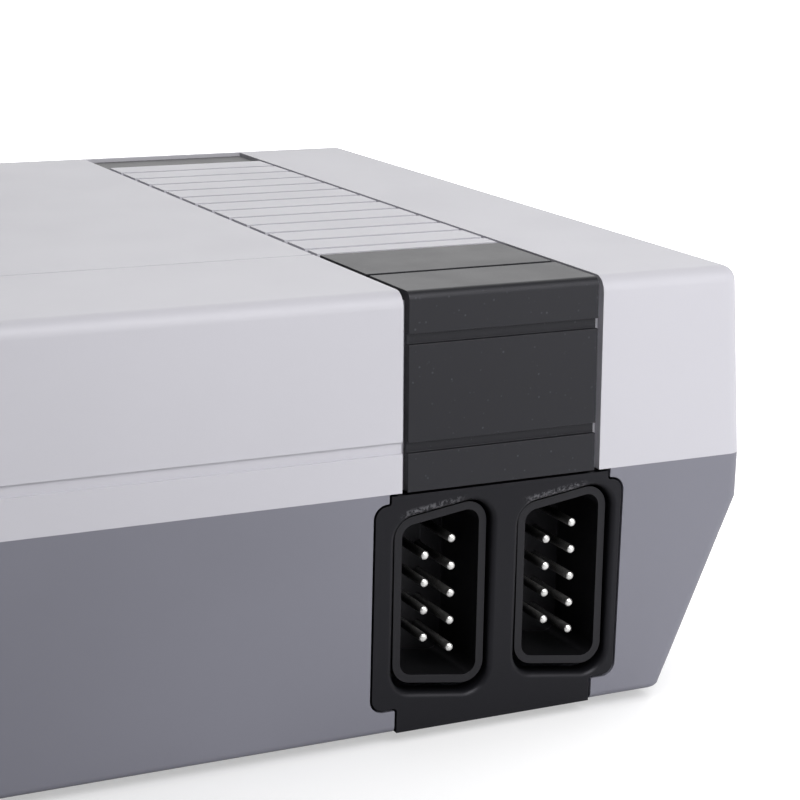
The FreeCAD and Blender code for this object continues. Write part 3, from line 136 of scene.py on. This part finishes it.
def softbox(name, place, aim, size, watts):
    """A square lamp at one point that faces another."""
    lamp = bpy.data.lights.new(name, "AREA")
    lamp.shape = "SQUARE"
    lamp.size = size
    lamp.energy = watts
    box = add_object(name, lamp)
    box.location = place
    box.rotation_euler = (Vector(aim) - Vector(place)).to_track_quat("-Z", "Y").to_euler()


def make_lights():
    """A large lamp in front, a weak one close to the ports and one behind."""
    for name, (place, aim, size, watts) in LAMPS.items():
        softbox(name, place, aim, size, watts)


# ---------------------------------------------------------------- materials

# Sizes in a finish are in millimetres. Most of a noise texture's values lie inside NOISE_SPREAD, and a cut is
# the part of them over which a mark fades in.
NOISE_SPREAD = (0.3, 0.7)
# The blacks mirror the room a little bluer than the other plastics do.
COOL_TINT = (0.93, 0.92, 1.0, 1.0)
# Painted shade in gaps keeps the share below of the colour at the first openness and lower, and all of it
# from the second up.
PAINTED_SHADE_OPENNESS = (0.1, 0.75)
PAINTED_GAP_SHADE = 0.25
# How far the surface has to turn within an edge's radius to count as an edge, as one minus the cosine.
EDGE_TURN = 0.25

TONE_PATCH = 28.0
SMEAR_PATCH = 9.0
SMEAR_CUT = (0.35, 0.7)
RUB_WIDTH = 0.35
RUB_PATCH = 1.6
RUB_CUT = (0.42, 0.62)
RUB_SHARE = 0.6
RUB_POLISH = 0.08
SPECK_SPACING = 0.55
SPECK_REACH = 0.3
SPECK_PATCH = 0.9
SPECK_CUT = (0.52, 0.66)

TARNISH_PATCH = 2.4
TARNISH_CUT = (0.45, 0.75)
TARNISH_SHADE = 0.82
# The share of a metal's colour that its painted shade in gaps starts from.
METAL_PAINTED_SHADE = 0.3
SCRATCH_PATCH = 0.12
SCRATCH_DEPTH = 0.0006
SHEEN_PATCH = 0.8
# How much smoother and how much rougher than its roughness a metal gets.
SMOOTHER = 0.05
ROUGHER = 0.08

PANEL_BLACK = (0.0085, 0.0085, 0.0105)
# The top edge of each port climbs by this angle towards the port's longer side.
PORT_LEAN = math.atan2(1.2, 8.2)
# The band of lighter specks above each port: how far out from the top edge it lies, where along that edge it
# runs, and how softly it ends each way.
BAND_OUT = (0.65, 1.35)
BAND_OUT_SOFT = 0.2
BAND_ALONG = (0.8, 6.8)
BAND_ALONG_SOFT = 0.9
BAND_SPECK_PATCH = 0.28
BAND_SPECK_CUT = (0.45, 0.6)
BAND_SPECK_COLOUR = (0.12, 0.12, 0.13, 1.0)

MASK_GREENS = ((0.02, 0.11, 0.04, 1.0), (0.03, 0.15, 0.055, 1.0))
MASK_PATCH = 12.0
TRACK_GREEN = (0.06, 0.24, 0.09, 1.0)
TRACK_PITCH = 4.0
TRACK_RISE = 0.03
PAD_METAL = (0.55, 0.54, 0.5, 1.0)
PAD_SPACING = 2.6
PAD_REACH = (0.12, 0.17)
BOARD_ROUGHNESS = (0.24, 0.36)

# A darker grey for the valleys between the ribs and a lighter one for their crests: painted shade and
# highlight.
RIB_SHADE_GREYS = ((0.30, 0.30, 0.31, 1.0), (0.46, 0.46, 0.47, 1.0))
CABLE_PITCH = 1.0 * MM
CABLE_RELIEF = 0.15
CABLE_ROUGHNESS = (0.42, 0.56)
# The red mark on the first wire, and the share of a wire over which it fades.
MARK_RED = (0.5, 0.05, 0.04, 1.0)
MARK_FADE = 0.1
# A wave texture of scale 1 repeats at this length.
WAVE_REPEAT = math.pi / 10

LAMP_REDS = ((0.46, 0.012, 0.012, 1.0), (0.60, 0.03, 0.025, 1.0))
LAMP_ROUGHNESS = (0.10, 0.18)
LAMP_CLEARNESS = 0.55
EPOXY_IOR = 1.5


class Finish:
    """A node material that is put together one texture at a time."""

    def __init__(self, name):
        self.material = bpy.data.materials.new(name)
        self.material.use_nodes = True
        self.tree = self.material.node_tree
        self.surface = self.tree.nodes["Principled BSDF"]
        self.place = self.node("ShaderNodeTexCoord").outputs["Object"]
        self.height = None

    def node(self, kind, **settings):
        """A new node with its menus and options set."""
        made = self.tree.nodes.new(kind)
        for prop, value in settings.items():
            setattr(made, prop, value)
        return made

    def plug(self, value, socket):
        """Sets a socket to a number or a colour, or links it to another node's output."""
        if isinstance(value, bpy.types.NodeSocket):
            self.tree.links.new(value, socket)
        else:
            socket.default_value = value

    def feed(self, made, **inputs):
        """Sets a node's sockets by their names, with _ for a blank."""
        for name, value in inputs.items():
            self.plug(value, made.inputs[name.replace("_", " ")])
        return made

    def noise(self, size, detail=3.0, roughness=0.5):
        """Soft random patches about as wide as a length in millimetres."""
        made = self.node("ShaderNodeTexNoise")
        self.feed(made, Vector=self.place, Scale=1 / (size * MM), Detail=detail, Roughness=roughness)
        return made.outputs["Fac"]

    def cells(self, size):
        """Distance to scattered points about a length in millimetres apart."""
        made = self.node("ShaderNodeTexVoronoi", feature="F1")
        self.feed(made, Vector=self.place, Scale=1 / (size * MM))
        return made.outputs["Distance"]

    def spread(self, value, low, high, out_low=0.0, out_high=1.0):
        """Carries the part of a value between low and high over to a new range, with soft ends."""
        made = self.node("ShaderNodeMapRange", interpolation_type="SMOOTHSTEP")
        self.feed(made, Value=value, From_Min=low, From_Max=high, To_Min=out_low, To_Max=out_high)
        return made.outputs[0]

    def maths(self, operation, first, second):
        """Two values joined by a sum, product or the like."""
        made = self.node("ShaderNodeMath", operation=operation)
        self.plug(first, made.inputs[0])
        self.plug(second, made.inputs[1])
        return made.outputs[0]

    def product(self, first, second):
        """Two values multiplied."""
        return self.maths("MULTIPLY", first, second)

    def axis(self, name):
        """The place along X, Y or Z of the frame."""
        parts = self.node("ShaderNodeSeparateXYZ")
        self.feed(parts, Vector=self.place)
        return parts.outputs[name]

    def mix(self, share, first, second):
        """One colour turning into another as share goes from 0 to 1."""
        made = self.node("ShaderNodeMix", data_type="RGBA")
        # A mix node has a set of sockets for each type of value, and these are the colour's.
        for index, value in ((0, share), (6, first), (7, second)):
            self.plug(value, made.inputs[index])
        return made.outputs[2]

    def edges(self, radius):
        """Near 1 along convex and concave edges within a radius in millimetres, and 0 on the flats."""
        bevel = self.node("ShaderNodeBevel", samples=4)
        self.feed(bevel, Radius=radius * MM)
        geometry = self.node("ShaderNodeNewGeometry")
        dot = self.node("ShaderNodeVectorMath", operation="DOT_PRODUCT")
        self.tree.links.new(bevel.outputs["Normal"], dot.inputs[0])
        self.tree.links.new(geometry.outputs["Normal"], dot.inputs[1])
        return self.spread(dot.outputs["Value"], 1.0, 1.0 - EDGE_TURN)

    def openness(self, reach):
        """Near 0 in gaps and recesses narrower than a length in millimetres, and 1 in the open."""
        made = self.node("ShaderNodeAmbientOcclusion", samples=8)
        self.feed(made, Distance=reach * MM)
        return made.outputs["AO"]

    def stripe(self, start, direction, low, high, soft):
        """1 between two distances in millimetres from a point, measured along a direction of the frame."""
        along = self.node("ShaderNodeVectorMath", operation="DOT_PRODUCT")
        self.tree.links.new(self.place, along.inputs[0])
        along.inputs[1].default_value = direction
        distance = self.maths("SUBTRACT", along.outputs["Value"], start.dot(direction))
        rising = self.spread(distance, (low - soft) * MM, (low + soft) * MM)
        falling = self.spread(distance, (high - soft) * MM, (high + soft) * MM, 1.0, 0.0)
        return self.product(rising, falling)

    def paint_gap_shade(self, colour, reach, plain):
        """The plain colour, and a darker one as painted shade in gaps narrower than a length in millimetres.
        """
        return self.mix(self.spread(self.openness(reach), *PAINTED_SHADE_OPENNESS), shade(colour, PAINTED_GAP_SHADE), plain)

    def colour(self, value):
        """Sets the surface's base colour."""
        self.feed(self.surface, Base_Color=value)

    def rough(self, value):
        """Sets the surface's roughness."""
        self.feed(self.surface, Roughness=value)

    def bump(self, height, depth, strength=1.0):
        """Adds relief of a depth in millimetres on top of any added before."""
        made = self.node("ShaderNodeBump")
        self.feed(made, Height=height, Distance=depth * MM, Strength=strength)
        if self.height is not None:
            self.tree.links.new(self.height, made.inputs["Normal"])
        self.height = made.outputs["Normal"]
        self.tree.links.new(self.height, self.surface.inputs["Normal"])


def shade(colour, factor):
    """A colour made lighter or darker, as red, green, blue and alpha."""
    return tuple(min(1.0, channel * factor) for channel in colour[:3]) + (1.0,)


def moulded_plastic(name, colour, roughness, grain=0.25, grain_depth=0.004, mottle=0.03, wear=1.12, gloss=0.5,
                    gap_shade_reach=0.0, specks=0.0, smear=0.055, tint=WHITE):
    """Injection-moulded plastic: fine spark-eroded grain, slow tone drift, rubbed edges, faint smears and,
    where asked, painted shade in gaps.
    """
    finish = Finish(name)
    finish.feed(finish.surface, Specular_IOR_Level=gloss, Specular_Tint=tint)
    drift = finish.spread(finish.noise(TONE_PATCH, 2.0), *NOISE_SPREAD)
    base = finish.mix(drift, shade(colour, 1 - mottle), shade(colour, 1 + mottle))
    if specks:
        dots = finish.spread(finish.cells(SPECK_SPACING), 0.0, SPECK_REACH, 1.0, 0.0)
        rare = finish.spread(finish.noise(SPECK_PATCH), *SPECK_CUT)
        base = finish.mix(finish.product(dots, rare), base, shade(colour, 1 + specks))
    rubbed = finish.product(finish.edges(RUB_WIDTH), finish.spread(finish.noise(RUB_PATCH), *RUB_CUT))
    wear_and_painted_shade = finish.mix(finish.product(rubbed, RUB_SHARE), base, shade(colour, wear))
    # Painted shade: the colour turns darker in gaps and recesses, laid over the rubbed edges.
    if gap_shade_reach:
        wear_and_painted_shade = finish.paint_gap_shade(colour, gap_shade_reach, wear_and_painted_shade)
    finish.colour(wear_and_painted_shade)
    patches = finish.noise(SMEAR_PATCH, 4.0, 0.6)
    smears = finish.spread(patches, *SMEAR_CUT, roughness - smear, roughness + smear)
    finish.rough(finish.maths("SUBTRACT", smears, finish.product(rubbed, RUB_POLISH)))
    finish.bump(finish.noise(grain, 4.0, 0.6), grain_depth)
    return finish


def metal(name, colour, roughness, gap_shade_reach=0.0):
    """Plated or bare metal: a bright even coat with faint tarnish, fine scratches and, where asked, painted
    shade in gaps.
    """
    finish = Finish(name)
    finish.feed(finish.surface, Metallic=1.0)
    tarnish = finish.spread(finish.noise(TARNISH_PATCH, 4.0), *TARNISH_CUT)
    coat = finish.mix(tarnish, shade(colour, 1.0), shade(colour, TARNISH_SHADE))
    # Painted shade: the coat turns far darker in gaps and recesses.
    if gap_shade_reach:
        coat = finish.paint_gap_shade(shade(colour, METAL_PAINTED_SHADE), gap_shade_reach, coat)
    finish.colour(coat)
    sheen = finish.noise(SHEEN_PATCH, 4.0)
    finish.rough(finish.spread(sheen, *NOISE_SPREAD, roughness - SMOOTHER, roughness + ROUGHER))
    finish.bump(finish.noise(SCRATCH_PATCH, 2.0), SCRATCH_DEPTH)
    return finish


def socket_rim_plastic(name):
    """The port panel's smooth black, with lighter grey specks in a band above each port."""
    finish = moulded_plastic(name, PANEL_BLACK, 0.38, wear=2.2, gloss=0.25,
                             gap_shade_reach=2.5, smear=0.03, tint=COOL_TINT)
    # The colour so far, which holds the painted shade in gaps.
    plain = finish.surface.inputs["Base Color"].links[0].from_socket
    edge = Vector((math.cos(PORT_LEAN), 0.0, math.sin(PORT_LEAN)))
    outward = Vector((-edge.z, 0.0, edge.x))
    marks = 0.0
    for port in ("port_housing_left", "port_housing_right"):
        low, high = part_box(port)
        corner = Vector((low.x, low.y, high.z - (high.x - low.x) * math.tan(PORT_LEAN)))
        band = finish.product(finish.stripe(corner, outward, *BAND_OUT, BAND_OUT_SOFT),
                              finish.stripe(corner, edge, *BAND_ALONG, BAND_ALONG_SOFT))
        marks = finish.maths("MAXIMUM", band, marks)
    band_specks = finish.spread(finish.noise(BAND_SPECK_PATCH, 4.0, 0.7), *BAND_SPECK_CUT)
    finish.colour(finish.mix(finish.product(band_specks, marks), plain, BAND_SPECK_COLOUR))
    return finish


def circuit_board(name):
    """Green solder mask over copper tracks that stand a little proud, with bare pads between them."""
    finish = Finish(name)
    tracks = finish.node("ShaderNodeTexBrick", offset=0.5)
    finish.feed(tracks, Vector=finish.place, Scale=1 / (TRACK_PITCH * MM), Mortar_Size=0.09,
                Mortar_Smooth=0.2, Brick_Width=1.6, Row_Height=0.5)
    copper = tracks.outputs["Fac"]
    mask = finish.mix(finish.noise(MASK_PATCH), *MASK_GREENS)
    traced = finish.mix(copper, mask, TRACK_GREEN)
    pads = finish.spread(finish.cells(PAD_SPACING), *PAD_REACH, 1.0, 0.0)
    finish.colour(finish.mix(pads, traced, PAD_METAL))
    finish.rough(finish.spread(finish.noise(3.0), *NOISE_SPREAD, *BOARD_ROUGHNESS))
    finish.bump(copper, TRACK_RISE)
    return finish


def ribbed_cable(name):
    """Flat grey cable: each wire shows as a rib, with painted shade in the valleys and painted highlight on
    the crests, and the first one is marked red.
    """
    finish = Finish(name)
    ribs = finish.node("ShaderNodeTexWave", wave_profile="SIN", bands_direction="X")
    finish.feed(ribs, Vector=finish.place, Scale=WAVE_REPEAT / CABLE_PITCH)
    # Painted shade and highlight: the grey follows the ribs' relief.
    grey = finish.mix(ribs.outputs["Fac"], *RIB_SHADE_GREYS)
    first_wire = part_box("port_ribbon")[0].x
    across = finish.axis("X")
    second_wire = first_wire + CABLE_PITCH
    fade = CABLE_PITCH * MARK_FADE
    marked = finish.spread(across, second_wire, second_wire + fade, 1.0, 0.0)
    beyond = finish.spread(across, first_wire - fade, first_wire)
    finish.colour(finish.mix(finish.product(marked, beyond), grey, MARK_RED))
    finish.rough(finish.spread(finish.noise(4.0), *NOISE_SPREAD, *CABLE_ROUGHNESS))
    finish.bump(ribs.outputs["Fac"], CABLE_RELIEF)
    return finish


def tinted_lamp(name):
    """Clear red epoxy with faint flow lines."""
    finish = Finish(name)
    finish.feed(finish.surface, Transmission_Weight=LAMP_CLEARNESS, IOR=EPOXY_IOR)
    finish.colour(finish.mix(finish.noise(1.2), *LAMP_REDS))
    finish.rough(finish.spread(finish.noise(0.6), *NOISE_SPREAD, *LAMP_ROUGHNESS))
    finish.bump(finish.noise(0.5), 0.003)
    return finish


def make_materials():
    """The finish of each material slot in the record."""
    # A finish given a reach for gaps is darkened there with painted shade.
    made = {
        "shell_light": moulded_plastic("shell_light", (0.600, 0.592, 0.640), 0.48, wear=1.06, mottle=0.012,
                                       smear=0.02),
        "shell_grey": moulded_plastic("shell_grey", (0.209, 0.209, 0.250), 0.44),
        "black_plastic": moulded_plastic("black_plastic", (0.0125, 0.0128, 0.0150), 0.46, wear=1.8,
                                         gloss=0.39, gap_shade_reach=2.0, specks=3.5, smear=0.02, tint=COOL_TINT),
        "panel_black": socket_rim_plastic("panel_black"),
        "socket_black": moulded_plastic("socket_black", (0.008, 0.008, 0.009), 0.36, wear=2.2, gloss=0.37,
                                        gap_shade_reach=6.0, tint=COOL_TINT),
        "button_grey": moulded_plastic("button_grey", (0.09, 0.09, 0.10), 0.4, wear=1.3),
        "switch_plastic": moulded_plastic("switch_plastic", (0.05, 0.05, 0.06), 0.5),
        "regulator_black": moulded_plastic("regulator_black", (0.03, 0.03, 0.03), 0.5),
        "jack_yellow": moulded_plastic("jack_yellow", (0.80, 0.50, 0.04), 0.3, wear=1.1),
        "jack_white": moulded_plastic("jack_white", (0.78, 0.77, 0.74), 0.3, wear=1.1),
        "foot_rubber": moulded_plastic("foot_rubber", (0.035, 0.035, 0.037), 0.7,
                                       grain=0.4, grain_depth=0.02),
        "chip_resin": moulded_plastic("chip_resin", (0.02, 0.02, 0.02), 0.25),
        "ribbon_grey": ribbed_cable("ribbon_grey"),
        "capacitor_sleeve": moulded_plastic("capacitor_sleeve", (0.03, 0.05, 0.12), 0.3),
        "lamp_red": tinted_lamp("lamp_red"),
        "board_green": circuit_board("board_green"),
        "contact_nickel": metal("contact_nickel", (0.95, 0.94, 0.92), 0.38, gap_shade_reach=7.0),
        "screw_steel": metal("screw_steel", (0.62, 0.62, 0.60), 0.32),
        "can_metal": metal("can_metal", (0.72, 0.72, 0.70), 0.30),
    }
    return {name: finish.material for name, finish in made.items()}


def make_floor():
    """A plain pale floor, which glows towards the rear right and a little more to the camera alone, with a
    painted shadow dimming its glow close to the console.
    """
    mesh = bpy.data.meshes.new("floor")
    half = FLOOR_SIZE / 2
    corners = [(-half, -half, 0), (half, -half, 0), (half, half, 0), (-half, half, 0)]
    mesh.from_pydata(corners, [], [(0, 1, 2, 3)])
    floor = add_object("floor", mesh)
    finish = Finish("floor_paint")
    patches = finish.noise(FLOOR_PATCH)
    finish.colour(finish.mix(patches, shade(FLOOR_COLOUR, 0.99), shade(FLOOR_COLOUR, 1.01)))
    finish.rough(0.9)
    along = finish.maths("ADD", finish.axis("X"), finish.axis("Y"))
    near_glow = finish.spread(along, *NEAR_SPAN, 0.0, GLOW_NEAR)
    far_glow = finish.spread(along, *FAR_SPAN, 0.0, GLOW_FAR - GLOW_NEAR)
    light_path = finish.node("ShaderNodeLightPath")
    seen = finish.product(light_path.outputs["Is Camera Ray"], GLOW_SEEN)
    # Painted shadow: the near glow dims close to the console.
    painted_shadow = finish.spread(finish.openness(GLOW_SHADOW_REACH), *GLOW_OPENNESS)
    glow = finish.maths("ADD", finish.product(near_glow, painted_shadow), finish.maths("ADD", far_glow, seen))
    finish.feed(finish.surface, Emission_Color=WHITE, Emission_Strength=glow)
    mesh.materials.append(finish.material)


# ---------------------------------------------------------------- finishing the CAD nodes

# The radius on each node's sharp edges, in millimetres.
EDGE_SOFTNESS = {
    "upper_shell": 0.3, "lower_shell": 0.3, "trim_strip": 0.06, "rear_trim": 0.1, "port_panel": 0.35,
    "port_housing_left": 0.14, "port_housing_right": 0.14, "control_bezel": 0.2, "feet": 0.3,
}
COMMON_SOFTNESS = 0.06
# Vertices closer than this are joined. Faces that meet at less than the flat angle become one, and edges that
# turn more than the sharp angle are rounded.
WELD_REACH = 0.002 * MM
FLAT_ANGLE = math.radians(0.6)
SHARP_ANGLE = math.radians(32)


def soften(thing, width):
    """Joins a node's faces into clean flats and gives its sharp edges a small moulded radius."""
    weld = thing.modifiers.new("weld", "WELD")
    weld.merge_threshold = WELD_REACH
    flats = thing.modifiers.new("flats", "DECIMATE")
    flats.decimate_type = "DISSOLVE"
    flats.angle_limit = FLAT_ANGLE
    bevel = thing.modifiers.new("soft_edges", "BEVEL")
    bevel.width = width * MM
    bevel.segments = 3
    bevel.limit_method = "ANGLE"
    bevel.angle_limit = SHARP_ANGLE
    bevel.use_clamp_overlap = True
    normals = thing.modifiers.new("even_normals", "WEIGHTED_NORMAL")
    normals.keep_sharp = False


def finish_nodes(materials):
    """Gives every CAD node its material and its soft edges."""
    for subpart in frame["record"]["subparts"]:
        thing = NODES[subpart["node"]]
        thing.data.materials.clear()
        thing.data.materials.append(materials[subpart["material_slot"]])
        soften(thing, EDGE_SOFTNESS.get(subpart["node"], COMMON_SOFTNESS))


# ---------------------------------------------------------------- screws

SCREW_SIDES = 48
CASE_HEAD_RADIUS = 2.5 * MM
CASE_HEAD_RISE = 1.8 * MM
CASE_THREAD_RADIUS = 1.3 * MM
CASE_THREAD_PITCH = 1.0 * MM
CASE_SCREW_SOFTNESS = 0.05
# The head's outline from its outer face to its seat, as shares of its radius and its rise.
HEAD_OUTLINE = ((0.86, -1.0), (0.96, -0.9), (1.0, -0.7), (1.0, 0.0))
# The thread's radii, as shares of its nominal radius, and the heights of one turn's rings, as shares of its
# pitch.
THREAD_ROOT = 0.78
THREAD_CREST = 0.96
THREAD_TIP = 0.7
TURN_START = 0.15
TURN_MIDDLE = 0.5
TURN_END = 0.85
# The cross recess: the length and half the width of its arms and its floor, as shares of the head's size, and
# how much smaller it is at its floor.
RECESS_ARM = 0.55
RECESS_HALF = 0.16
RECESS_FLOOR = 0.35
RECESS_TAPER = 0.7


def ring_of(mesh, radius, height):
    """A level ring of vertices."""
    turns = [2 * math.pi * index / SCREW_SIDES for index in range(SCREW_SIDES)]
    return [mesh.verts.new((radius * math.cos(turn), radius * math.sin(turn), height)) for turn in turns]


def skin(mesh, lower, upper):
    """A band of faces between two rings of the same count."""
    count = len(lower)
    for index in range(count):
        following = (index + 1) % count
        mesh.faces.new((lower[index], lower[following], upper[following], upper[index]))


def add_screw(mesh, place, axis, head_radius, head_rise, thread_radius, thread_length, pitch):
    """A pan head with a cross recess, and a thread; the axis runs from the head into the material."""
    made = bmesh.new()
    rings = [ring_of(made, head_radius * width, head_rise * height) for width, height in HEAD_OUTLINE]
    turns = int(thread_length / pitch)
    for turn in range(turns):
        crest = THREAD_CREST if turn < turns - 1 else THREAD_TIP
        start = turn * pitch
        rings.append(ring_of(made, thread_radius * THREAD_ROOT, start + pitch * TURN_START))
        rings.append(ring_of(made, thread_radius * crest, start + pitch * TURN_MIDDLE))
        rings.append(ring_of(made, thread_radius * THREAD_ROOT, start + pitch * TURN_END))
    for lower, upper in zip(rings, rings[1:]):
        skin(made, lower, upper)
    made.faces.new(rings[-1])
    add_cross_recess(made, rings[0], head_radius, head_rise)
    turn_to = Vector(axis).to_track_quat("Z", "Y").to_matrix().to_4x4()
    bmesh.ops.transform(made, matrix=Matrix.Translation(place) @ turn_to, verts=made.verts)
    bmesh.ops.recalc_face_normals(made, faces=made.faces)
    scratch = bpy.data.meshes.new("screw")
    made.to_mesh(scratch)
    made.free()
    mesh.from_mesh(scratch)
    bpy.data.meshes.remove(scratch)


def add_cross_recess(made, rim, head_radius, head_rise):
    """Closes the head's outer face with a cross-shaped driver recess."""
    count = len(rim)
    arm, half = head_radius * RECESS_ARM, head_radius * RECESS_HALF
    top, floor = -head_rise, -head_rise * RECESS_FLOOR
    mouth, base = [], []
    for quarter in range(4):
        turn = Matrix.Rotation(quarter * math.pi / 2, 4, "Z")
        for x, y in ((half, -half), (arm, -half), (arm, half)):
            mouth.append(made.verts.new(turn @ Vector((x, y, top))))
            base.append(made.verts.new(turn @ Vector((x * RECESS_TAPER, y * RECESS_TAPER, floor))))
    skin(made, base, mouth)
    made.faces.new(base)
    corners = len(mouth)
    share = count // corners
    # The first corner of the cross lies an eighth of a turn before the rim's first vertex.
    for index in range(corners):
        first = index * share - count // 8
        outer = [rim[(first + step) % count] for step in range(share + 1)]
        made.faces.new([mouth[index]] + outer + [mouth[(index + 1) % corners]])


def make_case_screws(material):
    """The four case screws, seen at the bottom of their wells."""
    low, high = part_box("case_screws")
    head_radius = CASE_HEAD_RADIUS
    seat = low.z + CASE_HEAD_RISE
    mesh = bmesh.new()
    for x in (low.x + head_radius, high.x - head_radius):
        for y in (low.y + head_radius, high.y - head_radius):
            add_screw(mesh, Vector((x, y, seat)), (0, 0, 1), head_radius, CASE_HEAD_RISE,
                      CASE_THREAD_RADIUS, high.z - seat, CASE_THREAD_PITCH)
    data = bpy.data.meshes.new("case_screw_set")
    mesh.to_mesh(data)
    mesh.free()
    data.materials.append(material)
    screws = add_object("case_screw_set", data)
    soften(screws, CASE_SCREW_SOFTNESS)
    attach(screws, "console")
    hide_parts("case_screws")


bpy.context.scene.view_settings.view_transform = "Standard"
make_camera()
make_sky()
make_lights()
make_floor()
materials = make_materials()
finish_nodes(materials)
make_case_screws(materials["screw_steel"])

bpy.context.view_layer.update()
